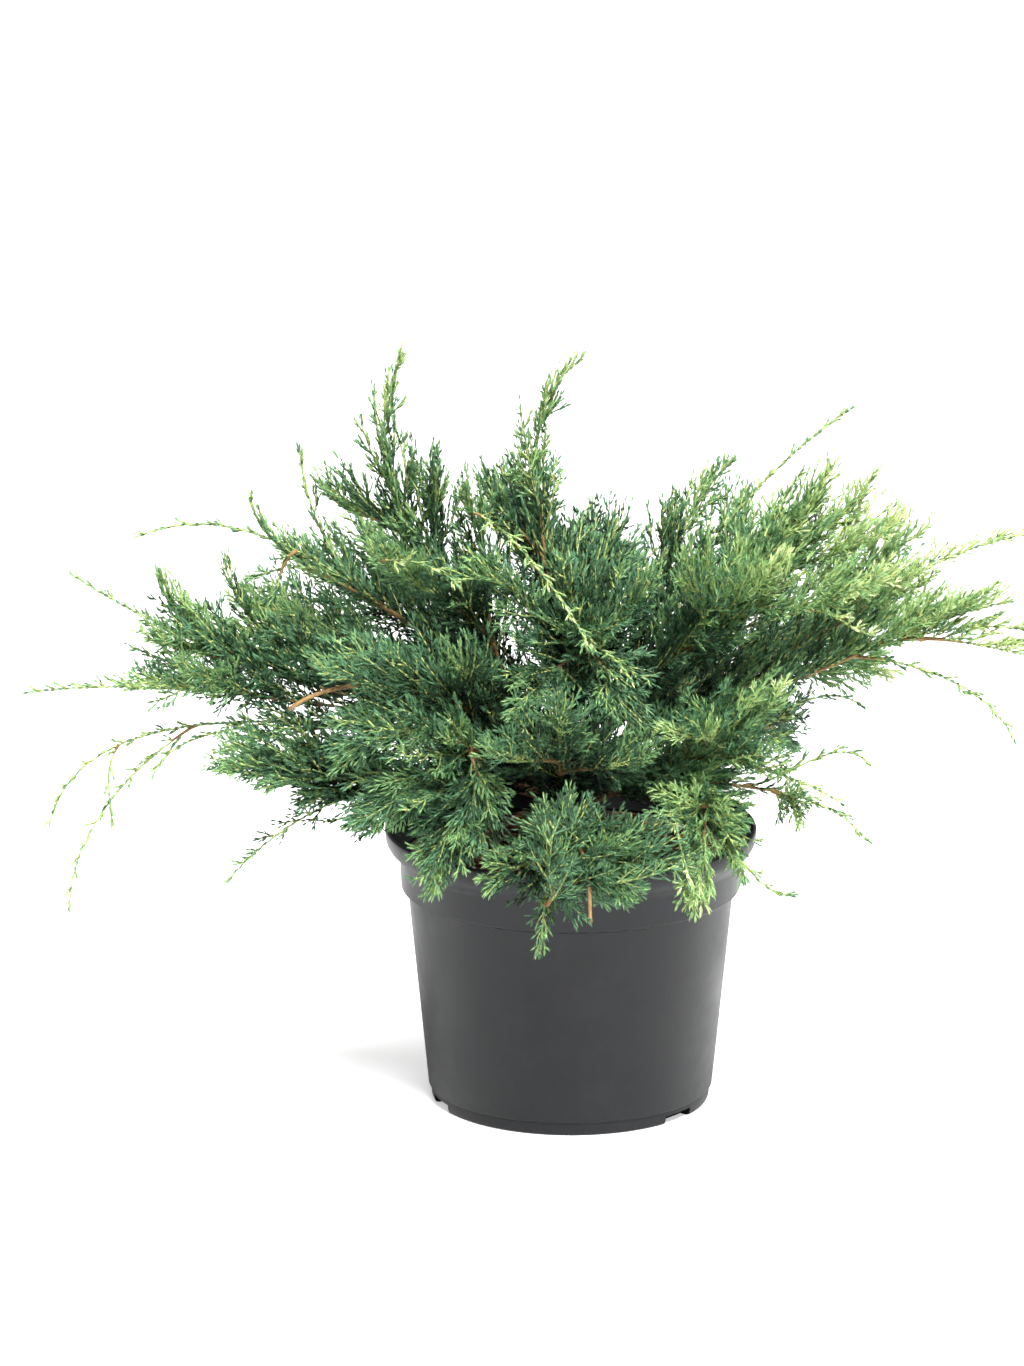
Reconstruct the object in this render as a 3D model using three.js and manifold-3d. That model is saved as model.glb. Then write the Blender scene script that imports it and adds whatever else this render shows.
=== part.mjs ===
// A grey owl juniper in its round nursery pot, in millimetres, +Z up.
// The origin is the middle of the pot's flat underside, and -Y faces the viewer.
// A short trunk carries tapering boughs. Each bough's tip meets the stems of its masses of foliage.
// A mass is a stem that forks into leaders, with toothed blades that each stand for one spray of scale leaves.
import * as THREE from "three";
import { mergeVertices } from "three/addons/utils/BufferGeometryUtils.js";
import Module from "manifold-3d";

const wasm = await Module();
wasm.setup();

// The pot, a common 19 cm container of about 3 litres.
const POT_HEIGHT = 145;
const RIM_RADIUS = 95.6;
const LIP_FOOT = 129;
const COLLAR_RADIUS = 87.7;
const COLLAR_FOOT = 113;
const BODY_TOP_RADIUS = 83.8;
const BODY_BASE_RADIUS = 73.4;
const FOOT_RADIUS = 71.9;
const FOOT_HEIGHT = 8;
const WALL = 1.6;
const FLOOR = 2.4;
const POT_SIDES = 36;
const DRAIN_WIDTH = 20;
const DRAIN_HEIGHT = 4.6;
const DRAIN_BEARINGS = [-39.5, -159.5, 80.5];

// The soil, mounded a little round the trunk.
const SOIL_EDGE = 128.5;
const SOIL_TOP = 133.5;
const SOIL_SIDES = 24;

// The wood.
const GAP = 0.35;
const TRUNK_TOP = 192;
const TRUNK_LEAN = new THREE.Vector2(-5, 4);
const TRUNK_FLARE = 13;
const TRUNK_RADIUS = 8;
const TRUNK_TIP_RADIUS = 6;
const BOUGH_RADIUS = 3.4;
const BOUGH_TIP_RADIUS = 2.1;
const FLANK_OFFSET = 3;
const STEM_RADIUS = 1.5;
const STEM_TIP_RADIUS = 0.5;

// The growth rule of the foliage.
const BLADE_PITCH = 29;
const SHORTEST_BLADE = 13;
const BLADE_THICKNESS = 1.3;
const BLADE_SHARES = [1, 0.8, 0.65, 0.5, 0.35];
const BLADE_TILTS = [12, -20, 45, -55, 90, -90];
const SHOOT_LIFT = 0.26;
const HANGING_RISE = -20;
const TURN_UP = 0.35;
const SPACE_MARGIN = 0.4;
const LIMB_MARGIN = 0.6;

// Each bough leaves the trunk at the height "foot" and ends at "tip".
const BOUGHS = {
  left_upper: { foot: 181, tip: [-41, 10, 220], rise: 45 },
  left: { foot: 172, tip: [-69, -8, 202], rise: 15 },
  left_low: { foot: 156, tip: [-62, -29, 174], rise: -5 },
  front_left: { foot: 168, tip: [-43, -49, 196], rise: 15 },
  front: { foot: 154, tip: [-3, -53, 178], rise: 0 },
  front_right: { foot: 165, tip: [37, -44, 182], rise: 0 },
  right_low: { foot: 153, tip: [60, -15, 174], rise: 0 },
  right: { foot: 170, tip: [73, 2, 206], rise: 20 },
  right_upper: { foot: 182, tip: [37, -3, 223], rise: 45 },
  centre: { foot: 192, tip: [-7, 11, 230], rise: 75 },
  front_upper: { foot: 178, tip: [2, -21, 223], rise: 50 },
  back_right: { foot: 174, tip: [44, 43, 203], rise: 20 },
  back: { foot: 186, tip: [2, 58, 215], rise: 25 },
  back_left: { foot: 170, tip: [-43, 48, 200], rise: 20 },
  back_low: { foot: 154, tip: [-6, 48, 168], rise: -5 },
};

// Each mass grows from its bough's tip. "spread" is its longest shoot, and each leader is
// [x, y, z of the tip, degrees that the tip rises, how full it is]. The first leader is the stem.
const MASSES = {
  left_spire: { bough: "left_upper", spread: 76, leaders: [[-85, 24, 387, 122, 0.85], [-70, 6, 332, 66, 1], [-124, 18, 320, 80, 1]] },
  left_arm: { bough: "left_upper", spread: 76, leaders: [[-223, 15, 293, -26, 0.28], [-164, 15, 317, 84, 0.54], [-139, 22, 340, 84, 0.4], [-158, 0, 262, 25, 0.5]] },
  left_crest: { bough: "left_upper", spread: 80, leaders: [[-55, -22, 326, 62, 1], [-100, -46, 300, 45, 1]] },
  left_tips: { bough: "left", spread: 74, leaders: [[-277, -25, 222, -6, 0.45], [-226, -50, 230, 0, 0.9], [-192, 20, 216, -5, 0.7]] },
  left_fan: { bough: "left", spread: 80, leaders: [[-208, -20, 284, 80, 1], [-176, -14, 290, 84, 0.6], [-254, -10, 280, 34, 0.2], [-214, -34, 252, 20, 1]] },
  left_whips: { bough: "left", spread: 60, leaders: [[-267, -30, 150, -80, 0.24], [-176, -44, 196, -10, 0.8], [-213, -40, 181, -70, 0.24], [-256, -42, 113, -88, 0.24], [-234, -40, 155, -88, 0.2]] },
  left_skirt: { bough: "left_low", spread: 82, leaders: [[-132, -68, 176, -40, 1], [-176, -62, 190, -22, 1], [-175, -52, 130, -50, 0.35], [-150, -72, 186, -30, 1]] },
  left_comb: { bough: "front_left", spread: 76, leaders: [[-57, -104, 256, 8, 1], [-116, -98, 206, -50, 1], [-126, -84, 250, 35, 1]] },
  front_left_skirt: { bough: "front_left", spread: 70, leaders: [[-62, -122, 222, 15, 0.9], [-70, -118, 146, -60, 1], [-108, -96, 172, -40, 1], [-40, -112, 186, -35, 1]] },
  front_skirt: { bough: "front", spread: 66, leaders: [[-16, -134, 116, -72, 0.6], [26, -130, 146, -60, 1], [-38, -128, 150, -60, 1], [56, -124, 156, -50, 1], [6, -118, 182, -25, 1]] },
  front_fan: { bough: "front", spread: 76, leaders: [[-6, -132, 244, 50, 1], [36, -122, 212, 25, 1], [-40, -124, 216, 30, 1]] },
  front_right_skirt: { bough: "front_right", spread: 66, leaders: [[80, -98, 174, -40, 1], [86, -98, 144, -75, 0.7], [114, -72, 128, 2, 0.35], [60, -124, 134, -60, 0.8], [46, -108, 180, -35, 1]] },
  right_front: { bough: "front_right", spread: 78, leaders: [[106, -92, 236, 30, 1], [106, -94, 198, -5, 1], [70, -108, 224, 40, 1], [46, -84, 214, 20, 1]] },
  right_skirt: { bough: "right_low", spread: 66, leaders: [[150, -56, 152, -50, 0.35], [150, -50, 192, -40, 0.3], [116, -66, 166, -50, 0.6]] },
  right_under: { bough: "right_low", spread: 66, leaders: [[150, 6, 206, -40, 0.3], [112, -46, 214, 5, 0.8], [110, 40, 178, -35, 0.9]] },
  right_tips: { bough: "right", spread: 76, leaders: [[238, -20, 252, -12, 0.6], [224, -18, 268, 12, 0.8], [226, -30, 197, -64, 0.2], [232, -30, 243, -6, 0.6]] },
  right_outer: { bough: "right", spread: 80, leaders: [[240, 22, 294, 5, 0.5], [180, 32, 292, 28, 0.9], [182, 2, 272, 16, 1]] },
  right_crown: { bough: "right_upper", spread: 80, leaders: [[132, -12, 338, 65, 0.9], [154, 0, 330, 58, 0.7], [166, -14, 308, 42, 0.9]] },
  right_mid: { bough: "right_upper", spread: 80, leaders: [[108, -58, 300, 45, 1], [164, -44, 288, 30, 1], [60, -62, 298, 55, 1]] },
  right_crest: { bough: "right_upper", spread: 76, leaders: [[83, 24, 331, 34, 0.8], [144, 42, 355, 30, 0.2], [52, 16, 304, 45, 1]] },
  centre_spire: { bough: "centre", spread: 70, leaders: [[6, 10, 388, 34, 0.75], [-42, 20, 322, 80, 1], [-14, 30, 322, 80, 0.9]] },
  centre_back: { bough: "centre", spread: 74, leaders: [[24, 46, 296, 72, 1], [-40, 62, 300, 70, 1], [14, 92, 272, 40, 0.9]] },
  centre_fan: { bough: "front_upper", spread: 74, leaders: [[40, -66, 290, 45, 1], [-6, -50, 294, 72, 1], [-26, -66, 258, 20, 1]] },
  centre_drape: { bough: "front_upper", spread: 66, leaders: [[10, -96, 262, -40, 0.9], [-57, -72, 292, -12, 0.9], [-28, -92, 226, -45, 1], [30, -88, 226, -40, 1]] },
  back_right_top: { bough: "back_right", spread: 80, leaders: [[130, 130, 286, 42, 1], [92, 96, 292, 60, 1]] },
  back_right_side: { bough: "back_right", spread: 76, leaders: [[206, 92, 238, 5, 0.9], [168, 130, 190, -30, 0.9]] },
  back_right_skirt: { bough: "back_right", spread: 70, leaders: [[112, 150, 150, -52, 0.9], [70, 170, 190, -30, 1]] },
  back_crest: { bough: "back", spread: 80, leaders: [[10, 150, 268, 52, 1], [-34, 116, 300, 72, 1], [30, 192, 240, 20, 1]] },
  back_whips: { bough: "back", spread: 70, leaders: [[-6, 222, 206, -15, 0.8], [40, 206, 152, -60, 0.7]] },
  back_left_top: { bough: "back_left", spread: 80, leaders: [[-112, 118, 284, 55, 1], [-152, 138, 258, 30, 1]] },
  back_left_side: { bough: "back_left", spread: 76, leaders: [[-196, 106, 212, -12, 0.9], [-176, 70, 246, 20, 1]] },
  back_left_skirt: { bough: "back_left", spread: 70, leaders: [[-120, 152, 152, -52, 0.9], [-76, 174, 200, -20, 1]] },
  back_skirt: { bough: "back_low", spread: 66, leaders: [[-44, 128, 130, -62, 0.9], [26, 132, 122, -66, 0.9]] },
};

const UP = new THREE.Vector3(0, 0, 1);
const CROWN_HEART = new THREE.Vector3(0, 10, 190);
const POTTING = new THREE.MeshStandardMaterial({ color: 0x47484b, roughness: 0.55, metalness: 0 });
const SOIL = new THREE.MeshStandardMaterial({ color: 0x3a251a, roughness: 1, metalness: 0 });
const BARK = new THREE.MeshStandardMaterial({ color: 0x7a5638, roughness: 0.9, metalness: 0 });
const FOLIAGE = new THREE.MeshStandardMaterial({ color: 0x5d8463, roughness: 0.8, metalness: 0 });

const vector = ([x, y, z]) => new THREE.Vector3(x, y, z);
const radians = THREE.MathUtils.degToRad;

// A number from 0 to 1 that is always the same for the same keys.
function chance(a, b, c) {
  const wave = Math.sin(a * 12.9898 + b * 78.233 + c * 37.719) * 43758.5453;
  return wave - Math.floor(wave);
}

// The closed solid of a geometry.
function solid(geometry) {
  const loose = geometry.index ? geometry.toNonIndexed() : geometry;
  const bare = new THREE.BufferGeometry().setAttribute("position", loose.getAttribute("position"));
  const merged = mergeVertices(bare, 1e-4);
  return new wasm.Manifold(
    new wasm.Mesh({
      numProp: 3,
      vertProperties: merged.attributes.position.array,
      triVerts: new Uint32Array(merged.index.array),
    }),
  );
}

// The named mesh of a solid, of its largest piece where a cut has left a scrap.
function named(name, made, material) {
  const body = made.decompose().sort((a, b) => b.volume() - a.volume())[0];
  const { vertProperties, triVerts } = body.getMesh();
  const geometry = new THREE.BufferGeometry()
    .setAttribute("position", new THREE.BufferAttribute(vertProperties, 3))
    .setIndex(new THREE.BufferAttribute(triVerts, 1));
  geometry.computeVertexNormals();
  const mesh = new THREE.Mesh(geometry, material);
  mesh.name = name;
  return mesh;
}

// A profile of [radius, height] pairs, from the axis round to the axis, spun about Z.
function spun(profile, sides) {
  const points = profile.map(([radius, height]) => new THREE.Vector2(radius, height));
  return new THREE.LatheGeometry(points, sides).rotateX(Math.PI / 2);
}

// A curve that leaves "start" along "heading" and reaches "tip" at an angle of "rise" degrees.
function arch(start, heading, tip, rise) {
  const reach = start.distanceTo(tip);
  const level = new THREE.Vector3(tip.x - start.x, tip.y - start.y, 0).normalize();
  const arrival = level.multiplyScalar(Math.cos(radians(rise))).addScaledVector(UP, Math.sin(radians(rise)));
  const leave = start.clone().addScaledVector(heading, reach * 0.35);
  const arrive = tip.clone().addScaledVector(arrival, -reach * 0.35);
  return new THREE.CubicBezierCurve3(start, leave, arrive, tip);
}

// A limb along a curve: a cylinder bent along it, whose radius at t is radiusAt(t).
function limb(curve, radiusAt, sides, steps) {
  const geometry = new THREE.CylinderGeometry(1, 1, 1, sides, steps);
  const { normals, binormals } = curve.computeFrenetFrames(steps);
  const position = geometry.getAttribute("position");
  for (let i = 0; i < position.count; i++) {
    const t = position.getY(i) + 0.5;
    const step = Math.round(t * steps);
    const point = curve
      .getPointAt(t)
      .addScaledVector(binormals[step], position.getX(i) * radiusAt(t))
      .addScaledVector(normals[step], position.getZ(i) * radiusAt(t));
    position.setXYZ(i, point.x, point.y, point.z);
  }
  return geometry;
}

const taper = (from, to) => (t) => from + (to - from) * t;

function potRadius(z) {
  if (z > COLLAR_FOOT - 4) return RIM_RADIUS;
  return BODY_BASE_RADIUS + ((BODY_TOP_RADIUS - BODY_BASE_RADIUS) * z) / COLLAR_FOOT;
}

function buildPot() {
  const shell = solid(
    spun(
      [
        [0, 0],
        [FOOT_RADIUS - 2, 0],
        [FOOT_RADIUS, 2.5],
        [FOOT_RADIUS + 0.3, FOOT_HEIGHT - 1.2],
        [BODY_BASE_RADIUS, FOOT_HEIGHT],
        [BODY_TOP_RADIUS, COLLAR_FOOT - 1.5],
        [COLLAR_RADIUS - 0.6, COLLAR_FOOT],
        [COLLAR_RADIUS + 0.3, LIP_FOOT],
        [RIM_RADIUS - 3, LIP_FOOT + 4.5],
        [RIM_RADIUS - 0.4, LIP_FOOT + 9],
        [RIM_RADIUS, POT_HEIGHT - 1],
        [RIM_RADIUS - 1, POT_HEIGHT],
        [RIM_RADIUS - 2, POT_HEIGHT - 0.6],
        [RIM_RADIUS - 2.2, LIP_FOOT + 9.6],
        [COLLAR_RADIUS - WALL, LIP_FOOT + 0.8],
        [COLLAR_RADIUS - WALL - 0.8, COLLAR_FOOT + 1],
        [BODY_TOP_RADIUS - WALL, COLLAR_FOOT - 1],
        [BODY_BASE_RADIUS - WALL, FOOT_HEIGHT],
        [FOOT_RADIUS - WALL - 1.5, FLOOR],
        [0, FLOOR],
      ],
      POT_SIDES,
    ),
  );
  return DRAIN_BEARINGS.reduce((pot, bearing) => {
    const cutter = new THREE.BoxGeometry(14, DRAIN_WIDTH, DRAIN_HEIGHT * 2)
      .translate(FOOT_RADIUS + 1, 0, 0)
      .rotateZ(radians(bearing));
    return pot.subtract(solid(cutter));
  }, shell);
}

function buildSoil() {
  const inner = COLLAR_RADIUS - WALL - 0.8 - GAP;
  return solid(
    spun(
      [
        [0, FLOOR + GAP],
        [FOOT_RADIUS - WALL - 2.4, FLOOR + GAP],
        [BODY_BASE_RADIUS - WALL - GAP - 0.3, FOOT_HEIGHT + 0.2],
        [BODY_TOP_RADIUS - WALL - GAP - 0.3, COLLAR_FOOT - 0.6],
        [inner - 0.2, COLLAR_FOOT + 1.6],
        [inner - 0.2, SOIL_EDGE],
        [inner * 0.72, SOIL_EDGE + 3.2],
        [inner * 0.36, SOIL_TOP],
        [0, SOIL_TOP],
      ],
      SOIL_SIDES,
    ),
  );
}

const trunkFoot = new THREE.Vector3(0, 0, SOIL_TOP + GAP);
const trunkTip = new THREE.Vector3(TRUNK_LEAN.x, TRUNK_LEAN.y, TRUNK_TOP);
const trunkLine = new THREE.CubicBezierCurve3(
  trunkFoot,
  new THREE.Vector3(0, 0, 155),
  new THREE.Vector3(TRUNK_LEAN.x, TRUNK_LEAN.y, 172),
  trunkTip,
);
const trunkRadius = (t) => taper(TRUNK_RADIUS, TRUNK_TIP_RADIUS)(t) + (TRUNK_FLARE - TRUNK_RADIUS) * Math.exp(-t * 9);

function trunkAt(height) {
  const t = THREE.MathUtils.clamp((height - trunkFoot.z) / (TRUNK_TOP - trunkFoot.z), 0, 1);
  return trunkLine.getPointAt(t);
}

// The lines of the boughs, from inside the trunk to their tips.
const boughs = Object.entries(BOUGHS).map(([name, { foot, tip, rise }]) => {
  const start = trunkAt(foot);
  const heading = vector(tip).sub(start).normalize().addScaledVector(UP, 0.15).normalize();
  return { name, line: arch(start, heading, vector(tip), rise) };
});

const boughRadius = taper(BOUGH_RADIUS, BOUGH_TIP_RADIUS);
const stemRadius = taper(STEM_RADIUS, STEM_TIP_RADIUS);
const grown = (radiusAt) => (t) => radiusAt(t) + GAP;

// The leaders of every mass. A later mass on the same bough leaves its flank, a little before the tip.
const served = {};
const masses = Object.entries(MASSES).map(([name, { bough, spread, leaders }], seed) => {
  const order = (served[bough] = (served[bough] ?? -1) + 1);
  const carrier = boughs.find((b) => b.name === bough);
  const from = 1 - order * 0.2;
  const along = carrier.line.getTangentAt(from);
  const flank = new THREE.Vector3().crossVectors(along, UP).normalize();
  const start = carrier.line.getPointAt(from).addScaledVector(along, order === 0 ? GAP : 0);
  const toTip = vector(leaders[0]).sub(start);
  if (order > 0) start.addScaledVector(flank, Math.sign(flank.dot(toTip)) * FLANK_OFFSET);
  const lines = [];
  leaders.forEach(([x, y, z, rise, fullness], k) => {
    const tip = new THREE.Vector3(x, y, z);
    const fork = k === 0 ? start : lines[0].line.getPointAt(0.12 + 0.16 * k);
    const onward = k === 0 ? along : lines[0].line.getTangentAt(0.12 + 0.16 * k);
    const heading = tip.clone().sub(fork).normalize().add(onward).normalize();
    const line = arch(fork, heading, tip, rise);
    lines.push({ line, rise, fullness, points: line.getSpacedPoints(24) });
  });
  return { name, seed, spread, lines, carrier };
});

// How far a point lies from a run of points joined by straight pieces.
const nearest = new THREE.Vector3();
const piece = new THREE.Line3();
function distanceTo(points, point) {
  let least = Infinity;
  for (let i = 0; i + 1 < points.length; i++) {
    piece.set(points[i], points[i + 1]).closestPointToPoint(point, true, nearest);
    least = Math.min(least, nearest.distanceTo(point));
  }
  return least;
}

const boughPoints = boughs.map(({ line }) => line.getSpacedPoints(12));
const trunkPoints = trunkLine.getSpacedPoints(6);

// True where a point is nearer to its own mass than to any other, and clear of wood and pot.
function inSpace(mass, point) {
  const own = Math.min(...mass.lines.map(({ points }) => distanceTo(points, point)));
  const clearOfMasses = masses.every(
    (other) =>
      other === mass ||
      other.lines.every(
        ({ points }) => distanceTo(points, point) > Math.max(own + SPACE_MARGIN, STEM_RADIUS + LIMB_MARGIN),
      ),
  );
  const clearOfWood =
    boughPoints.every((points) => distanceTo(points, point) > BOUGH_RADIUS + LIMB_MARGIN) &&
    distanceTo(trunkPoints, point) > TRUNK_FLARE;
  const radius = Math.hypot(point.x, point.y);
  const overSoil = radius < COLLAR_RADIUS - 4 && point.z > SOIL_TOP + 2;
  const clearOfPot = point.z > POT_HEIGHT + 1.5 || overSoil || radius > potRadius(point.z) + 2;
  return clearOfMasses && clearOfWood && clearOfPot;
}

// How long the shoots are along a leader, as a share of the mass's spread.
const shootTaper = (t) => (0.7 + 0.3 * Math.min(1, t / 0.25)) * Math.pow(1 - t, 0.75) + 0.08;

// A flat spray along +X: a toothed outline that thickens to a low peak on each face.
function blade(length) {
  const teeth = length > 28 ? 2 : 1;
  const side = (sign) => {
    const corners = [[0, sign * 0.9]];
    for (let k = 0; k < teeth; k++) {
      const share = (k + 0.5 + sign * 0.12) / teeth;
      const reach = 0.3 + 0.6 * share;
      const out = 0.34 * Math.pow(1 - share, 0.45);
      corners.push([reach * length, sign * out * length]);
      if (k + 1 < teeth) corners.push([(reach + 0.15 / teeth) * length, sign * 0.4 * out * length]);
      else corners.push([0.93 * length, sign * 0.035 * length]);
    }
    return corners;
  };
  const outline = [...side(-1), [length, 0], ...side(1).reverse()];
  const peak = [length * 0.5, 0, BLADE_THICKNESS / 2];
  const corners = [];
  outline.forEach(([x, y], i) => {
    const [nextX, nextY] = outline[(i + 1) % outline.length];
    corners.push(...peak, x, y, 0, nextX, nextY, 0);
    corners.push(peak[0], 0, -peak[2], nextX, nextY, 0, x, y, 0);
  });
  return new THREE.BufferGeometry().setAttribute("position", new THREE.Float32BufferAttribute(corners, 3));
}

// One spray on a leader: the blade lies in the plane of its own shoot and the leader.
function spray(root, direction, tangent, length) {
  const across = tangent.clone().addScaledVector(direction, -tangent.dot(direction)).normalize();
  const facing = direction.clone().cross(across);
  const geometry = blade(length);
  const position = geometry.getAttribute("position");
  for (let i = 0; i < position.count; i++) {
    const reach = position.getX(i);
    const point = root
      .clone()
      .addScaledVector(direction, reach)
      .addScaledVector(across, position.getY(i))
      .addScaledVector(facing, position.getZ(i))
      .addScaledVector(UP, (SHOOT_LIFT * reach * reach) / length);
    position.setXYZ(i, point.x, point.y, point.z);
  }
  return geometry;
}

// The sample points of a geometry: its corners and the middles of its edges.
function samples(geometry) {
  const position = geometry.getAttribute("position");
  const found = [];
  for (let i = 0; i < position.count; i += 3) {
    const [a, b, c] = [0, 1, 2].map((k) => new THREE.Vector3().fromBufferAttribute(position, i + k));
    found.push(a, a.clone().lerp(b, 0.5), b.clone().lerp(c, 0.5), c.clone().lerp(a, 0.5));
  }
  return found;
}

// The largest spray on one side of a leader that stays in its mass's space. It faces out of the crown.
// Shoots that would hang from a rising leader turn up.
function fittedSpray(mass, { line, rise }, t, key, hand, full) {
  const root = line.getPointAt(t);
  const tangent = line.getTangentAt(t);
  const outward = root.clone().sub(CROWN_HEART).normalize();
  const side = new THREE.Vector3().crossVectors(tangent, outward).normalize();
  const over = new THREE.Vector3().crossVectors(side, tangent);
  const open = radians(40 - 12 * t + 14 * (chance(key, t, hand) - 0.5));
  for (const share of BLADE_SHARES) {
    if (full * share < SHORTEST_BLADE) return null;
    for (const tilt of BLADE_TILTS) {
      const sideways = side
        .clone()
        .multiplyScalar(Math.cos(radians(tilt)) * hand)
        .addScaledVector(over, Math.sin(radians(tilt)));
      if (rise > HANGING_RISE && sideways.z < 0) sideways.z *= -TURN_UP;
      const direction = tangent
        .clone()
        .multiplyScalar(Math.cos(open))
        .addScaledVector(sideways.normalize(), Math.sin(open));
      const geometry = spray(root, direction, tangent, full * share);
      const reach = samples(geometry).filter((point) => point.distanceTo(root) > 4);
      if (reach.every((point) => inSpace(mass, point))) return geometry;
    }
  }
  return null;
}

function buildMass(mass) {
  const pieces = [];
  mass.lines.forEach((leader, k) => {
    const { line, fullness } = leader;
    const key = mass.seed * 7 + k;
    const length = line.getLength();
    const from = k === 0 ? STEM_RADIUS : STEM_RADIUS * 0.75;
    pieces.push(solid(limb(line, taper(from, STEM_TIP_RADIUS), 3, Math.max(3, Math.round(length / 34)))));
    const count = Math.floor(length / BLADE_PITCH);
    for (let i = 1; i <= count; i++) {
      const t = (i - 0.3) / (count + 0.3);
      const hand = i % 2 === 0 ? 1 : -1;
      const grownTo = mass.spread * fullness * shootTaper(t) * (0.85 + 0.3 * chance(key, i, 3));
      const full = Math.min(grownTo, (1 - t) * length * 0.8 + 9);
      const geometry = fittedSpray(mass, leader, t, key, hand, full);
      if (geometry) pieces.push(solid(geometry));
    }
  });
  const fused = pieces.reduce((all, next) => all.add(next));
  const cutter = solid(limb(mass.carrier.line, grown(boughRadius), 5, 4));
  return fused.subtract(cutter);
}

const root = new THREE.Group();
root.add(named("pot", buildPot(), POTTING));
root.add(named("soil", buildSoil(), SOIL));
root.add(named("trunk", solid(limb(trunkLine, trunkRadius, 9, 7)), BARK));
const trunkCutter = solid(limb(trunkLine, grown(trunkRadius), 9, 7));
for (const { name, line } of boughs) {
  root.add(named("bough_" + name, solid(limb(line, boughRadius, 5, 4)).subtract(trunkCutter), BARK));
}
for (const mass of masses) root.add(named("mass_" + mass.name, buildMass(mass), FOLIAGE));

export default root;
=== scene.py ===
"""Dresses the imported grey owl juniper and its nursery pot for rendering.

Lengths in the settings are millimetres unless a name says otherwise. The origin is the middle of the
pot's flat underside, +Z is up and -Y faces the viewer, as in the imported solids.
"""
import math
from collections import namedtuple

import bmesh
import bpy
import numpy as np
from mathutils import Matrix, Vector


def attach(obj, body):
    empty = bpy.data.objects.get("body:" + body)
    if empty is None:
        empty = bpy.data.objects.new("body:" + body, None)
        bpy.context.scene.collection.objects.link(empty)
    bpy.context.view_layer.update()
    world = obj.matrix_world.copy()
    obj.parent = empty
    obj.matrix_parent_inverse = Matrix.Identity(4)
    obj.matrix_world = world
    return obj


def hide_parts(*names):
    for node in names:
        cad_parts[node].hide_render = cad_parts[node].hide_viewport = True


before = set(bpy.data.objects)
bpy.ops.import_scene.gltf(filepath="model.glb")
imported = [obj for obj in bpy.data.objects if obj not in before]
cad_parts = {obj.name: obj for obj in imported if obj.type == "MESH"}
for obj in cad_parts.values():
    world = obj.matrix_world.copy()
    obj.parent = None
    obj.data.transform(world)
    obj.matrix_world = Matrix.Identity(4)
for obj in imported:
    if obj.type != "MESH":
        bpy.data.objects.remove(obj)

bl_info = {
    "name": "Potted Juniper",
    "version": (1, 0, 0),
    "blender": (4, 5, 0),
    "location": "3D View > Sidebar > Juniper",
    "description": "Builds a spreading juniper in a nursery pot on its packed solids",
    "category": "Add Mesh",
}

MM = 0.001

# The limbs, as in the solids.
TRUNK_TOP = 192
TRUNK_LEAN = (-5, 4)
TRUNK_FLARE = 13
TRUNK_RADIUS = 8
TRUNK_TIP_RADIUS = 6
BOUGH_RADIUS = 3.4
BOUGH_TIP_RADIUS = 2.1
FLANK_OFFSET = 3
SOIL_TOP = 133.5

# The hair's breadth between one solid and the next where they meet.
GAP = 0.35

# A leader whose tip rises less than this, in degrees, hangs. Beside one that rises, a shoot that
# would hang turns up by this share instead.
HANGING_RISE = -20
TURN_UP = 0.35

# Each bough's foot as a height on the trunk, its tip and how steeply it rises there, in degrees.
BOUGHS = {
    "left_upper": (181, (-41, 10, 220), 45),
    "left": (172, (-69, -8, 202), 15),
    "left_low": (156, (-62, -29, 174), -5),
    "front_left": (168, (-43, -49, 196), 15),
    "front": (154, (-3, -53, 178), 0),
    "front_right": (165, (37, -44, 182), 0),
    "right_low": (153, (60, -15, 174), 0),
    "right": (170, (73, 2, 206), 20),
    "right_upper": (182, (37, -3, 223), 45),
    "centre": (192, (-7, 11, 230), 75),
    "front_upper": (178, (2, -21, 223), 50),
    "back_right": (174, (44, 43, 203), 20),
    "back": (186, (2, 58, 215), 25),
    "back_left": (170, (-43, 48, 200), 20),
    "back_low": (154, (-6, 48, 168), -5),
}

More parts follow.
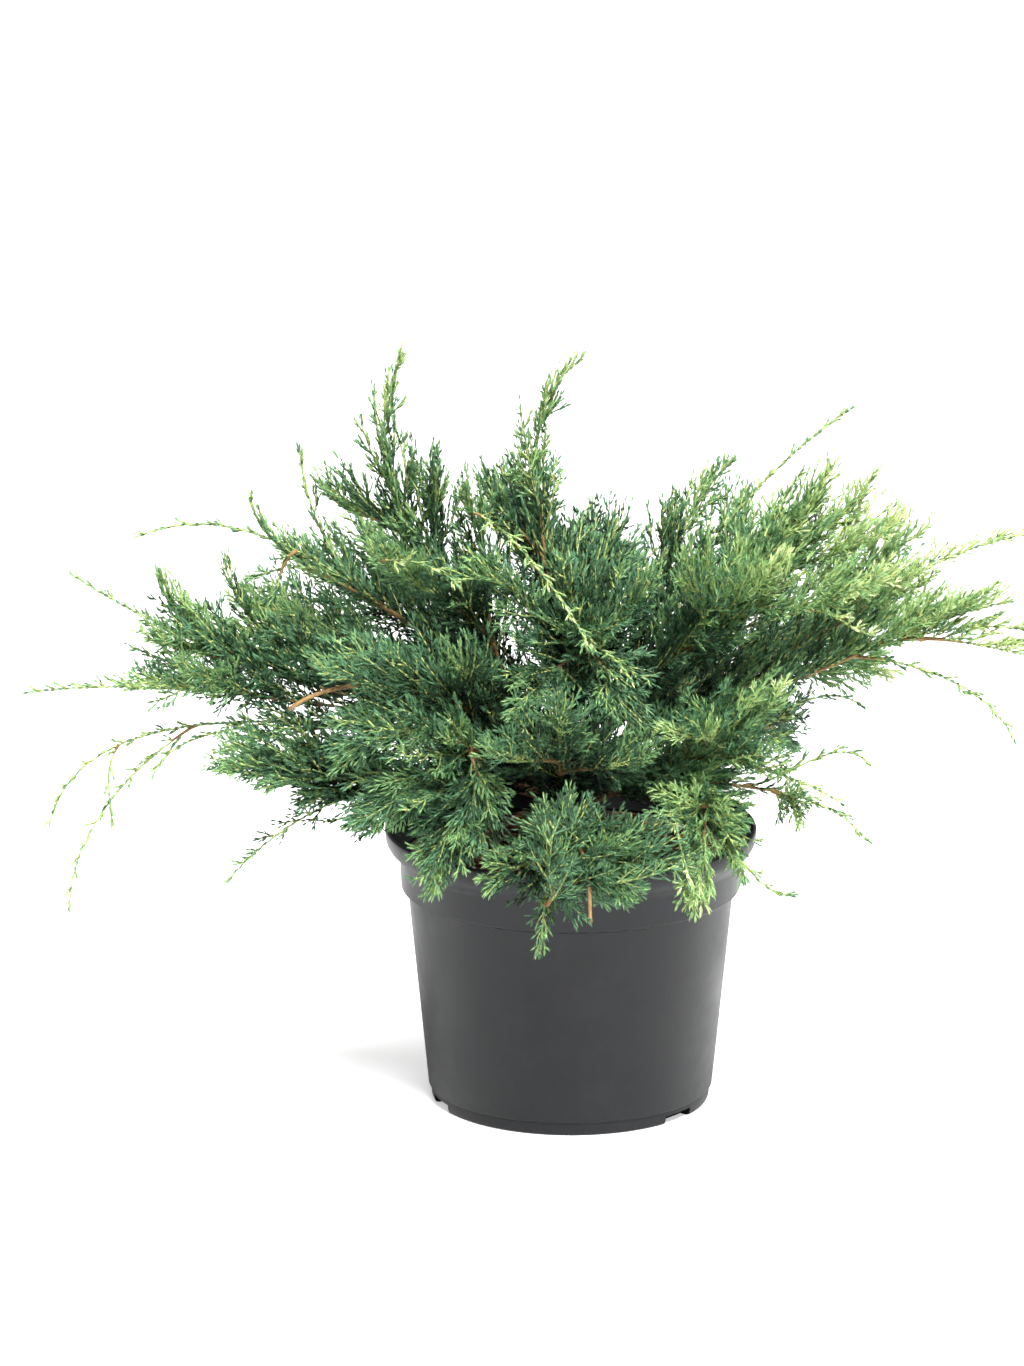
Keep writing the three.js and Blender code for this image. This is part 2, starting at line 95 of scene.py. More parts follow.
# Each mass: the bough that it grows from, how long its shoots may be, how yellow-green and pale they are,
# from
# 0 to 1, which is partly new growth and partly painted light, set higher on the lit right side, and its
# leaders.
# A leader is its tip's x, y and z, how steeply that rises, and how full it is.
MASSES = {
    "left_spire": ("left_upper", 76, 0.35, [
        (-85, 24, 387, 122, 0.85), (-70, 6, 332, 66, 1), (-124, 18, 320, 80, 1),
    ]),
    "left_arm": ("left_upper", 76, 0.2, [
        (-223, 15, 293, -26, 0.28), (-164, 15, 317, 84, 0.54), (-139, 22, 340, 84, 0.4),
        (-158, 0, 262, 25, 0.5),
    ]),
    "left_crest": ("left_upper", 80, 0.45, [
        (-55, -22, 326, 62, 1), (-100, -46, 300, 45, 1),
    ]),
    "left_tips": ("left", 74, 0, [
        (-277, -25, 222, -6, 0.45), (-226, -50, 230, 0, 0.9), (-192, 20, 216, -5, 0.7),
    ]),
    "left_fan": ("left", 80, 0, [
        (-208, -20, 284, 80, 1), (-176, -14, 290, 84, 0.6), (-254, -10, 280, 34, 0.2),
        (-214, -34, 252, 20, 1),
    ]),
    "left_whips": ("left", 60, 0.25, [
        (-267, -30, 150, -80, 0.24), (-176, -44, 196, -10, 0.8), (-213, -40, 181, -70, 0.24),
        (-256, -42, 113, -88, 0.24), (-234, -40, 155, -88, 0.2),
    ]),
    "left_skirt": ("left_low", 82, 0.1, [
        (-132, -68, 176, -40, 1), (-176, -62, 190, -22, 1), (-175, -52, 130, -50, 0.35),
        (-150, -72, 186, -30, 1),
    ]),
    "left_comb": ("front_left", 76, 0.2, [
        (-57, -104, 256, 8, 1), (-116, -98, 206, -50, 1), (-126, -84, 250, 35, 1),
    ]),
    "front_left_skirt": ("front_left", 70, 0.35, [
        (-62, -122, 222, 15, 0.9), (-70, -118, 146, -60, 1), (-108, -96, 172, -40, 1),
        (-40, -112, 186, -35, 1),
    ]),
    "front_skirt": ("front", 66, 0.2, [
        (-16, -134, 116, -72, 0.6), (26, -130, 146, -60, 1), (-38, -128, 150, -60, 1),
        (56, -124, 156, -50, 1), (6, -118, 182, -25, 1),
    ]),
    "front_fan": ("front", 76, 0.25, [
        (-6, -132, 244, 50, 1), (36, -122, 212, 25, 1), (-40, -124, 216, 30, 1),
    ]),
    "front_right_skirt": ("front_right", 66, 0.85, [
        (80, -98, 174, -40, 1), (86, -98, 144, -75, 0.7), (114, -72, 128, 2, 0.35),
        (60, -124, 134, -60, 0.8), (46, -108, 180, -35, 1),
    ]),
    "right_front": ("front_right", 78, 0.75, [
        (106, -92, 236, 30, 1), (106, -94, 198, -5, 1), (70, -108, 224, 40, 1),
        (46, -84, 214, 20, 1),
    ]),
    "right_skirt": ("right_low", 66, 0.7, [
        (150, -56, 152, -50, 0.35), (150, -50, 192, -40, 0.3), (116, -66, 166, -50, 0.6),
    ]),
    "right_under": ("right_low", 66, 0.3, [
        (150, 6, 206, -40, 0.3), (112, -46, 214, 5, 0.8), (110, 40, 178, -35, 0.9),
    ]),
    "right_tips": ("right", 76, 0.55, [
        (238, -20, 252, -12, 0.6), (224, -18, 268, 12, 0.8), (226, -30, 197, -64, 0.2),
        (232, -30, 243, -6, 0.6),
    ]),
    "right_outer": ("right", 80, 0.6, [
        (240, 22, 294, 5, 0.5), (180, 32, 292, 28, 0.9), (182, 2, 272, 16, 1),
    ]),
    "right_crown": ("right_upper", 80, 0.75, [
        (132, -12, 338, 65, 0.9), (154, 0, 330, 58, 0.7), (166, -14, 308, 42, 0.9),
    ]),
    "right_mid": ("right_upper", 80, 0.8, [
        (108, -58, 300, 45, 1), (164, -44, 288, 30, 1), (60, -62, 298, 55, 1),
    ]),
    "right_crest": ("right_upper", 76, 0.5, [
        (83, 24, 331, 34, 0.8), (144, 42, 355, 30, 0.2), (52, 16, 304, 45, 1),
    ]),
    "centre_spire": ("centre", 70, 0.45, [
        (6, 10, 388, 34, 0.75), (-42, 20, 322, 80, 1), (-14, 30, 322, 80, 0.9),
    ]),
    "centre_back": ("centre", 74, 0.35, [
        (24, 46, 296, 72, 1), (-40, 62, 300, 70, 1), (14, 92, 272, 40, 0.9),
    ]),
    "centre_fan": ("front_upper", 74, 0.5, [
        (40, -66, 290, 45, 1), (-6, -50, 294, 72, 1), (-26, -66, 258, 20, 1),
    ]),
    "centre_drape": ("front_upper", 66, 0.4, [
        (10, -96, 262, -40, 0.9), (-57, -72, 292, -12, 0.9), (-28, -92, 226, -45, 1),
        (30, -88, 226, -40, 1),
    ]),
    "back_right_top": ("back_right", 80, 0.5, [
        (130, 130, 286, 42, 1), (92, 96, 292, 60, 1),
    ]),
    "back_right_side": ("back_right", 76, 0.5, [
        (206, 92, 238, 5, 0.9), (168, 130, 190, -30, 0.9),
    ]),
    "back_right_skirt": ("back_right", 70, 0.4, [
        (112, 150, 150, -52, 0.9), (70, 170, 190, -30, 1),
    ]),
    "back_crest": ("back", 80, 0.4, [
        (10, 150, 268, 52, 1), (-34, 116, 300, 72, 1), (30, 192, 240, 20, 1),
    ]),
    "back_whips": ("back", 70, 0.5, [
        (-6, 222, 206, -15, 0.8), (40, 206, 152, -60, 0.7),
    ]),
    "back_left_top": ("back_left", 80, 0.4, [
        (-112, 118, 284, 55, 1), (-152, 138, 258, 30, 1),
    ]),
    "back_left_side": ("back_left", 76, 0.45, [
        (-196, 106, 212, -12, 0.9), (-176, 70, 246, 20, 1),
    ]),
    "back_left_skirt": ("back_left", 70, 0.35, [
        (-120, 152, 152, -52, 0.9), (-76, 174, 200, -20, 1),
    ]),
    "back_skirt": ("back_low", 66, 0.3, [
        (-44, 128, 130, -62, 0.9), (26, 132, 122, -66, 0.9),
    ]),
}

# How full a loose stem is, and how much yellow-green its shoots gain.
LOOSE_KINDS = {"pale": (0.2, 1.6), "full": (0.9, 0.0)}

# Single stems beside the leaders: the mass and the leader that each leaves, the share of the leader's
# length at which it does, its tip, how steeply that rises and its kind. A cut one is a bare stub.
LOOSE_STEMS = [
    ("left_crest", 1, 0.93, (-57, -80, 292), -35, "pale"),
    ("left_crest", 0, 0.9, (8, -100, 266), -45, "pale"),
    ("centre_drape", 0, 0.6, (30, -112, 250), -30, "pale"),
    ("right_mid", 1, 0.6, (150, -84, 268), 10, "pale"),
    ("right_front", 1, 0.7, (134, -112, 188), -25, "pale"),
    ("front_right_skirt", 4, 0.7, (58, -132, 150), -70, "pale"),
    ("front_left_skirt", 3, 0.45, (-46, -112, 168), -40, "full"),
    ("front_skirt", 3, 0.5, (-22, -118, 166), -45, "full"),
    ("front_skirt", 1, 0.4, (2, -120, 152), -55, "full"),
    ("front_skirt", 2, 0.45, (38, -122, 164), -40, "full"),
    ("left_comb", 2, 0.72, (-142, -92, 231), -35, "cut"),
    ("front_skirt", 4, 0.75, (9, -130, 131), -86, "cut"),
]

# The joined pieces of foliage, and the masses that each stands for.
FOLIAGE_PIECES = {
    "foliage_left": ("left_tips", "left_fan", "left_whips", "left_skirt", "left_comb"),
    "foliage_left_top": ("left_spire", "left_arm", "left_crest"),
    "foliage_centre": ("centre_spire", "centre_back", "centre_fan", "centre_drape"),
    "foliage_front": ("front_left_skirt", "front_skirt", "front_fan", "front_right_skirt"),
    "foliage_right": ("right_front", "right_skirt", "right_under", "right_tips", "right_outer"),
    "foliage_right_top": ("right_crown", "right_mid", "right_crest", "back_right_top"),
    "foliage_back_right": ("back_right_side", "back_right_skirt", "back_crest", "back_whips", "back_skirt"),
    "foliage_back_left": ("back_left_top", "back_left_side", "back_left_skirt"),
}


# The middle of the crown, from which shoots turn away and towards which their leaves are painted darker as
# shade, and straight up.
CROWN_HEART = np.array([0.0, 10.0, 190.0])
UP = np.array([0.0, 0.0, 1.0])

# What shoots keep clear of: the pot to just over its rim, wider round its collar, and the soil.
CLEAR_TOP = 147
CLEAR_COLLAR_FOOT = 108
CLEAR_COLLAR_RADIUS = 97
CLEAR_BODY_RADIUS = 85
CLEAR_SOIL_RADIUS = 83

# Light and lens, in metres and watts. The camera looks down by CAMERA_TILT degrees at CAMERA_AIM.
WORLD_STRENGTH = 0.22
FLOOR_GLOW = 0.5
LIGHTS = {
    "key": ((0.3, -1.8, 2.6), 0.9, 236),
    "fill": ((2.0, -1.8, 1.5), 2.0, 16),
    "top": ((0.3, 0.4, 2.8), 1.6, 120),
}
LIGHT_AIM = (0, 0, 0.2)
CAMERA_TILT = 15
CAMERA_AIM = (-0.0302, 0, 0.2203)
CAMERA_DISTANCE = 4
CAMERA_LENS = 206

# Where the drain notches are cut, in degrees round the pot, and how deep each cutter is.
NOTCH_BEARINGS = (-39.5, -159.5, 80.5)
NOTCH_DEPTH = 16

# The soil: its mound in the middle, its fall to the wall, its mesh and its chips.
SOIL_MIDDLE = 133.0
SOIL_FALL = 4.2
SOIL_RINGS = 46
SOIL_SIDES = 160
CHIP_COUNT = 1500

# The step between the places of neighbouring shoots round a stem, in degrees.
GOLDEN_ANGLE = 137.5


# Small tools


def linear(code):
    """An sRGB hex colour as linear red, green, blue and alpha."""
    channels = [int(code[i : i + 2], 16) / 255 for i in (1, 3, 5)]
    return [c / 12.92 if c <= 0.04045 else ((c + 0.055) / 1.055) ** 2.4 for c in channels] + [1.0]


def chance(*keys):
    """A number from 0 to 1 that is always the same for the same keys."""
    mixed = sum(np.asarray(key) * factor for key, factor in zip(keys, (12.9898, 78.233, 37.719)))
    wave = np.sin(mixed) * 43758.5453
    return wave - np.floor(wave)


def unit(v):
    """Vectors of length one along the given ones."""
    v = np.asarray(v, float)
    return v / np.maximum(np.linalg.norm(v, axis=-1, keepdims=True), 1e-9)


def evenly(control, count):
    """Points and unit tangents along a cubic Bezier curve, evenly spaced by length."""
    u = np.linspace(0, 1, 201)[:, None]
    a, b, c, d = [np.asarray(p, float) for p in control]
    dense = (1 - u) ** 3 * a + 3 * (1 - u) ** 2 * u * b + 3 * (1 - u) * u**2 * c + u**3 * d
    run = np.concatenate([[0], np.cumsum(np.linalg.norm(np.diff(dense, axis=0), axis=1))])
    place = np.linspace(0, run[-1], count)
    points = np.stack([np.interp(place, run, dense[:, k]) for k in range(3)], 1)
    return points, unit(np.gradient(points, axis=0)), run[-1]


def arch(start, heading, tip, rise):
    """A curve that leaves start along heading and reaches tip at an angle of rise degrees."""
    start, tip = np.asarray(start, float), np.asarray(tip, float)
    reach = np.linalg.norm(tip - start)
    level = unit([tip[0] - start[0], tip[1] - start[1], 0])
    arrival = level * math.cos(math.radians(rise)) + UP * math.sin(math.radians(rise))
    return start, start + np.asarray(heading) * reach * 0.35, tip - arrival * reach * 0.35, tip


def at(values, t):
    """The value of an evenly spaced run at the share t of its length."""
    place = t * (len(values) - 1)
    count = np.arange(len(values))
    return np.stack([np.interp(place, count, column) for column in values.T], -1)


def trunk_curve():
    """The control points of the trunk's line, from the soil to its fork."""
    lean = np.array([TRUNK_LEAN[0], TRUNK_LEAN[1], 0.0])
    return [0, 0, SOIL_TOP + GAP], [0, 0, 155], lean + UP * 172, lean + UP * TRUNK_TOP


def bough_curves():
    """Each bough's name with the control points of its line."""
    points, _, _ = evenly(trunk_curve(), 41)
    found = {}
    for name, (foot, tip, rise) in BOUGHS.items():
        share = min(max((foot - SOIL_TOP - GAP) / (TRUNK_TOP - SOIL_TOP - GAP), 0), 1)
        start = at(points, share)
        heading = unit(unit(np.asarray(tip) - start) + UP * 0.15)
        found[name] = arch(start, heading, tip, rise)
    return found


def leader_curves():
    """Each mass's name with its leaders: the control points, the rise and the fullness of each."""
    boughs = bough_curves()
    served = {}
    found = {}
    for name, (bough, _, _, leaders) in MASSES.items():
        order = served[bough] = served.get(bough, -1) + 1
        points, tangents, _ = evenly(boughs[bough], 101)
        share = 1 - order * 0.2
        along = at(tangents, share)
        start = at(points, share) + (along * GAP if order == 0 else 0)
        flank = unit(np.cross(along, UP))
        if order > 0:
            start = start + flank * np.sign(flank @ (np.array(leaders[0][:3]) - start)) * FLANK_OFFSET
        curves = []
        for k, (x, y, z, rise, fullness) in enumerate(leaders):
            fork, onward = start, along
            if k > 0:
                stem, stem_tangents, _ = evenly(curves[0][0], 101)
                fork, onward = at(stem, 0.12 + 0.16 * k), at(stem_tangents, 0.12 + 0.16 * k)
            heading = unit(unit(np.array([x, y, z]) - fork) + onward)
            curves.append((arch(fork, heading, (x, y, z), rise), rise, fullness))
        found[name] = curves
    return found


def mesh_object(name, vertices, faces, materials, indices=None, smooth=False):
    """An object from arrays of vertices in millimetres and of triangles or quads."""
    mesh = bpy.data.meshes.new(name)
    faces = np.asarray(faces, np.int32)
    mesh.vertices.add(len(vertices))
    mesh.vertices.foreach_set("co", (np.asarray(vertices, np.float32) * MM).ravel())
    mesh.loops.add(faces.size)
    mesh.loops.foreach_set("vertex_index", faces.ravel())
    mesh.polygons.add(len(faces))
    mesh.polygons.foreach_set("loop_start", np.arange(0, faces.size, faces.shape[1], dtype=np.int32))
    if indices is not None:
        mesh.polygons.foreach_set("material_index", np.asarray(indices, np.int32))
    mesh.update(calc_edges=True)
    mesh.validate()
    mesh.polygons.foreach_set("use_smooth", np.full(len(mesh.polygons), smooth))
    obj = bpy.data.objects.new(name, mesh)
    bpy.context.scene.collection.objects.link(obj)
    for material in materials:
        mesh.materials.append(material)
    return obj


def tubes(lines, radii, sides):
    """Vertices and quads of a tube along each line; lines is (n, points, 3) and radii (n, points)."""
    lines = np.asarray(lines, float)
    count, steps, _ = lines.shape
    tangents = unit(np.gradient(lines, axis=1))
    side = unit(np.cross(tangents, UP + np.array([0.013, 0.007, 0])))
    over = np.cross(side, tangents)
    angle = np.arange(sides) * 2 * np.pi / sides
    ring = side[:, :, None] * np.cos(angle)[:, None] + over[:, :, None] * np.sin(angle)[:, None]
    vertices = (lines[:, :, None] + ring * np.asarray(radii)[:, :, None, None]).reshape(-1, 3)
    k, s, a = np.meshgrid(np.arange(count), np.arange(steps - 1), np.arange(sides), indexing="ij")
    low, high = (k * steps + s) * sides, (k * steps + s + 1) * sides
    after = (a + 1) % sides
    faces = np.stack([low + a, low + after, high + after, high + a], -1)
    return vertices, faces.reshape(-1, 4)


def joined(parts):
    """Several (vertices, faces) pairs as one."""
    vertices, faces, offset = [], [], 0
    for v, f in parts:
        vertices.append(v)
        faces.append(f + offset)
        offset += len(v)
    return np.concatenate(vertices), np.concatenate(faces)


# Materials


def new_material(name):
    """A material with a bare Principled shader and its node tree."""
    material = bpy.data.materials.new(name)
    material.use_nodes = True
    return material, material.node_tree, material.node_tree.nodes["Principled BSDF"]


def node(tree, kind, settings=None, stops=(), **links):
    """A node with its settings, and its inputs linked to sockets or set to values.

    A colour ramp's stops are (position, hex colour), with its first and last before those between.
    """
    made = tree.nodes.new(kind)
    for key, value in (settings or {}).items():
        setattr(made, key, value)
    for k, (position, code) in enumerate(stops):
        elements = made.color_ramp.elements
        element = elements[k] if k < 2 else elements.new(position)
        element.position = position
        element.color = linear(code)
    for key, value in links.items():
        name = key.replace("_", " ")
        socket = made.inputs[name] if name in made.inputs else made.inputs[int(key[2:])]
        if isinstance(value, bpy.types.NodeSocket):
            tree.links.new(value, socket)
        else:
            socket.default_value = value
    return made


def per_metre(size):
    """The scale of a pattern on Object coordinates whose grain is size millimetres."""
    return 1 / (size * MM)


def moulded_plastic():
    """Charcoal polypropylene: fine moulding grain, faint dust and a soft broad sheen."""
    material, tree, shader = new_material("moulded polypropylene")
    place = node(tree, "ShaderNodeTexCoord").outputs["Object"]
    dust = node(tree, "ShaderNodeTexNoise", Vector=place, Scale=per_metre(26.3), Detail=4.0, Roughness=0.6)
    cloud = dust.outputs["Fac"]
    stops = [(0.3, "#131416"), (0.8, "#1f2022"), (0.55, "#18191b")]
    colour = node(tree, "ShaderNodeValToRGB", stops=stops, Fac=cloud)
    tree.links.new(colour.outputs["Color"], shader.inputs["Base Color"])
    dull = node(tree, "ShaderNodeMapRange", Value=cloud, From_Min=0.3, From_Max=0.8, To_Min=0.36, To_Max=0.52)
    tree.links.new(dull.outputs["Result"], shader.inputs["Roughness"])
    grain = node(tree, "ShaderNodeTexNoise", Vector=place, Scale=per_metre(1.11), Detail=2.0)
    bump = node(tree, "ShaderNodeBump", Height=grain.outputs["Fac"], Strength=0.25, Distance=0.2 * MM)
    tree.links.new(bump.outputs["Normal"], shader.inputs["Normal"])
    shader.inputs["Specular IOR Level"].default_value = 0.22
    return material


def potting_soil():
    """Composted bark: near-black damp crumbs with brown fibres."""
    material, tree, shader = new_material("composted potting soil")
    place = node(tree, "ShaderNodeTexCoord").outputs["Object"]
    crumb = node(tree, "ShaderNodeTexNoise", Vector=place, Scale=per_metre(3.85), Detail=6.0, Roughness=0.7)
    stops = [(0.3, "#1d120c"), (0.8, "#7a5a40"), (0.5, "#3a2419"), (0.68, "#5a3a28")]
    colour = node(tree, "ShaderNodeValToRGB", stops=stops, Fac=crumb.outputs["Fac"])
    tree.links.new(colour.outputs["Color"], shader.inputs["Base Color"])
    bump = node(tree, "ShaderNodeBump", Height=crumb.outputs["Fac"], Strength=0.8, Distance=2 * MM)
    tree.links.new(bump.outputs["Normal"], shader.inputs["Normal"])
    shader.inputs["Roughness"].default_value = 0.95
    return material


def bark_material(name, stops, strip):
    """Thin stringy bark: strips of that many millimetres, paler where they lift."""
    material, tree, shader = new_material(name)
    place = node(tree, "ShaderNodeTexCoord").outputs["Object"]
    strips = node(tree, "ShaderNodeTexNoise", Vector=place, Scale=per_metre(strip), Detail=5.0)
    strips.inputs["Roughness"].default_value = 0.65
    strips.inputs["Distortion"].default_value = 0.6
    colour = node(tree, "ShaderNodeValToRGB", stops=stops, Fac=strips.outputs["Fac"])
    tree.links.new(colour.outputs["Color"], shader.inputs["Base Color"])
    bump = node(tree, "ShaderNodeBump", Height=strips.outputs["Fac"], Strength=0.7, Distance=0.8 * MM)
    tree.links.new(bump.outputs["Normal"], shader.inputs["Normal"])
    shader.inputs["Roughness"].default_value = 0.85
    return material


def plain_material(name, colour, roughness=0.6):
    """One plain colour, for things too small to show a pattern."""
    material, _, shader = new_material(name)
    shader.inputs["Base Color"].default_value = colour
    shader.inputs["Roughness"].default_value = roughness
    shader.inputs["Specular IOR Level"].default_value = 0.3
    return material


# Settings that a user would change


def size(name, description, default):
    """A length in millimetres."""
    return bpy.props.FloatProperty(name=name, description=description + ", mm", default=default)


def leaf_colour(name, code):
    """One of the colours that are dealt out to the sprays."""
    return bpy.props.FloatVectorProperty(
        name=name, description="A colour of scale leaves", subtype="COLOR", size=4, default=linear(code)
    )


class JuniperPotSettings(bpy.types.PropertyGroup):
    height: size("Height", "From the floor to the rim", 145)
    rim_radius: size("Rim radius", "Outside of the lip", 95.6)
    collar_radius: size("Collar radius", "Outside of the collar", 87.7)
    collar_foot: size("Collar foot", "Height of the step under the collar", 113)
    lip_foot: size("Lip foot", "Height at which the collar flares", 129)
    body_top: size("Body top", "Radius under the collar", 83.8)
    body_base: size("Body base", "Radius above the foot", 73.4)
    foot_radius: size("Foot radius", "Outside of the foot", 71.9)
    foot_height: size("Foot height", "Height of the foot's line", 8)
    wall: size("Wall", "Thickness of the wall", 1.6)
    notch_width: size("Notch width", "Of each drain notch", 20)
    notch_height: size("Notch height", "Of each drain notch", 4.6)
    segments: bpy.props.IntProperty(name="Segments", description="Steps round the pot", default=144)


class JuniperFoliageSettings(bpy.types.PropertyGroup):
    shoot_pitch: size("Shoot pitch", "Between shoots on a leader", 4.6)
    twig_pitch: size("Twig pitch", "Between twigs on a shoot", 3.1)
    whorl_pitch: size("Whorl pitch", "Between whorls of leaves", 3.5)
    leaf_reach: size("Leaf reach", "How far a leaf's tip stands out", 0.76)
    shoot_share: bpy.props.FloatProperty(
        name="Shoot share", description="Longest shoot over the mass's spread", subtype="FACTOR", default=0.62
    )
    lift: bpy.props.FloatProperty(
        name="Lift", description="How much a shoot bends up", subtype="FACTOR", default=0.42
    )
    # Leaf colours from dark to pale: the two darkest are painted shade for the crown's inside, and the palest
    # are new tips and also painted light on lit sprays.
    deep_shade: leaf_colour("Deep shade", "#1a2d1c")
    shaded: leaf_colour("Shaded", "#334f35")
    blue_green: leaf_colour("Blue-green", "#4d7351")
    grey_green: leaf_colour("Grey-green", "#6b905c")
    green: leaf_colour("Green", "#8ba96a")
    fresh: leaf_colour("Fresh", "#aec183")
    new_tips: leaf_colour("New tips", "#ced8a8")


# Pot


def pot_profile(s):
    """The pot's wall from the axis underneath round the lip to the axis inside, as (radius, height)."""
    lip = s.lip_foot
    floor = 2.4
    foot = [
        (0, 0), (s.foot_radius - 2.2, 0), (s.foot_radius - 0.8, 0.5), (s.foot_radius - 0.1, 2.0),
        (s.foot_radius + 0.3, s.foot_height - 1.6), (s.foot_radius + 0.35, s.foot_height - 1.0),
    ]
    body = [
        (s.body_base - 0.5, s.foot_height - 0.6), (s.body_base, s.foot_height),
        (s.body_top - 0.1, s.collar_foot - 2.2), (s.body_top + 0.2, s.collar_foot - 1.4),
    ]
    collar = [
        (s.collar_radius - 1.4, s.collar_foot - 0.4), (s.collar_radius - 0.7, s.collar_foot + 0.1),
        (s.collar_radius - 0.4, s.collar_foot + 0.9), (s.collar_radius + 0.2, lip - 1.5),
        (s.collar_radius + 0.8, lip + 0.2),
    ]
    rim = [
        (s.rim_radius - 5.2, lip + 2.6), (s.rim_radius - 2.4, lip + 5.2), (s.rim_radius - 0.8, lip + 8.0),
        (s.rim_radius - 0.3, lip + 10.0), (s.rim_radius, s.height - 1.4),
        (s.rim_radius - 0.35, s.height - 0.5), (s.rim_radius - 1.0, s.height),
        (s.rim_radius - 1.7, s.height - 0.4), (s.rim_radius - 1.9, s.height - 1.2),
        (s.rim_radius - 2.3, lip + 9.4), (s.rim_radius - 4.4, lip + 6.0),
    ]
    inside = [
        (s.collar_radius - s.wall, lip + 0.8), (s.collar_radius - s.wall - 0.8, s.collar_foot + 1),
        (s.body_top - s.wall, s.collar_foot - 1), (s.body_base - s.wall, s.foot_height),
        (s.foot_radius - s.wall - 1.5, floor), (0, floor),
    ]
    return foot + body + collar + rim + inside


def spin(profile, segments):
    """A closed mesh of a profile spun about Z, in metres."""
    mesh = bmesh.new()
    line = [mesh.verts.new((r * MM, 0, z * MM)) for r, z in profile]
    edges = [mesh.edges.new(pair) for pair in zip(line, line[1:])]
    turn = {"axis": (0, 0, 1), "cent": (0, 0, 0), "angle": 2 * math.pi}
    bmesh.ops.spin(mesh, geom=line + edges, steps=segments, use_merge=True, **turn)
    bmesh.ops.remove_doubles(mesh, verts=mesh.verts, dist=1e-6)
    bmesh.ops.recalc_face_normals(mesh, faces=mesh.faces)
    return mesh


def object_from(name, mesh, material):
    """An object that takes over a bmesh."""
    data = bpy.data.meshes.new(name)
    mesh.to_mesh(data)
    mesh.free()
    data.materials.append(material)
    obj = bpy.data.objects.new(name, data)
    bpy.context.scene.collection.objects.link(obj)
    return obj


def notch_cutter(s, bearing, material):
    """A block across the foot of the wall at a bearing in degrees."""
    block = bmesh.new()
    through = Matrix.Diagonal((NOTCH_DEPTH * MM, s.notch_width * MM, 2 * s.notch_height * MM, 1))
    outward = Matrix.Translation(((s.foot_radius + 1) * MM, 0, 0))
    turn = Matrix.Rotation(math.radians(bearing), 4, "Z")
    bmesh.ops.create_cube(block, size=1, matrix=turn @ outward @ through)
    return object_from("notch_cutter", block, material)


class JUNIPER_OT_pot(bpy.types.Operator):
    """Spin the pot and cut its drain notches"""

    bl_idname = "juniper.pot"
    bl_label = "Pot"

    def execute(self, context):
        s = context.scene.juniper_pot
        plastic = moulded_plastic()
        pot = object_from("nursery_pot", spin(pot_profile(s), s.segments), plastic)
        cutters = [notch_cutter(s, bearing, plastic) for bearing in NOTCH_BEARINGS]
        for cutter in cutters:
            modifier = pot.modifiers.new(cutter.name, "BOOLEAN")
            modifier.object = cutter
            modifier.solver = "EXACT"
        cut = bpy.data.meshes.new_from_object(pot.evaluated_get(context.evaluated_depsgraph_get()))
        if not cut.polygons:
            raise RuntimeError("the notches left nothing of the pot")
        pot.modifiers.clear()
        pot.data = cut
        for cutter in cutters:
            bpy.data.objects.remove(cutter)
        cut.polygons.foreach_set("use_smooth", [True] * len(cut.polygons))
        cut.set_sharp_from_angle(angle=math.radians(38))
        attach(pot, "root")
        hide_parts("pot")
        return {"FINISHED"}


# Soil


def rough(x, y, scale, seed):
    """Smooth noise from -1 to 1 over arrays of places."""
    total = 0
    for k in range(4):
        a = scale * (1.9**k)
        wave = np.sin(x * a + seed * 1.7 + k * 2.1 + 1.3 * np.sin(y * a * 0.7 + k))
        cross = np.cos(y * a * 1.1 - seed + k * 1.3 + 1.1 * np.sin(x * a * 0.8 + 2 * k))
        total = total + wave * cross / (1.5**k)
    return total / 2.2


def chunks(centres, sizes, turns, seed):
    """Small irregular chips: a squashed, roughened cube for each centre."""
    corners = np.array([[x, y, z] for x in (-1, 1) for y in (-1, 1) for z in (-1, 1)], float)
    quads = np.array([[0, 1, 3, 2], [4, 6, 7, 5], [0, 4, 5, 1], [2, 3, 7, 6], [0, 2, 6, 4], [1, 5, 7, 3]])
    count = len(centres)
    rng = np.random.default_rng(seed)
    shape = corners[None] * (0.65 + 0.5 * rng.random((count, 8, 3)))
    local = shape * sizes[:, None, :] * 0.5
    c, s = np.cos(turns[:, 0]), np.sin(turns[:, 0])
    x = local[..., 0] * c[:, None] - local[..., 1] * s[:, None]
    y = local[..., 0] * s[:, None] + local[..., 1] * c[:, None]
    z = local[..., 2] + x * turns[:, 1][:, None] + y * turns[:, 2][:, None]
    vertices = np.stack([x, y, z], -1) + centres[:, None]
    faces = quads[None] + (np.arange(count) * 8)[:, None, None]
    return vertices.reshape(-1, 3), faces.reshape(-1, 4)


def soil_height(x, y, edge):
    """The height of the soil's surface, whose edge is that far from the axis."""
    share = np.hypot(x, y) / edge
    mound = SOIL_MIDDLE - SOIL_FALL * np.clip(share, 0, 1) ** 2.2
    return mound + 0.9 * rough(x, y, 0.16, 3) + 0.5 * rough(x, y, 0.7, 8)


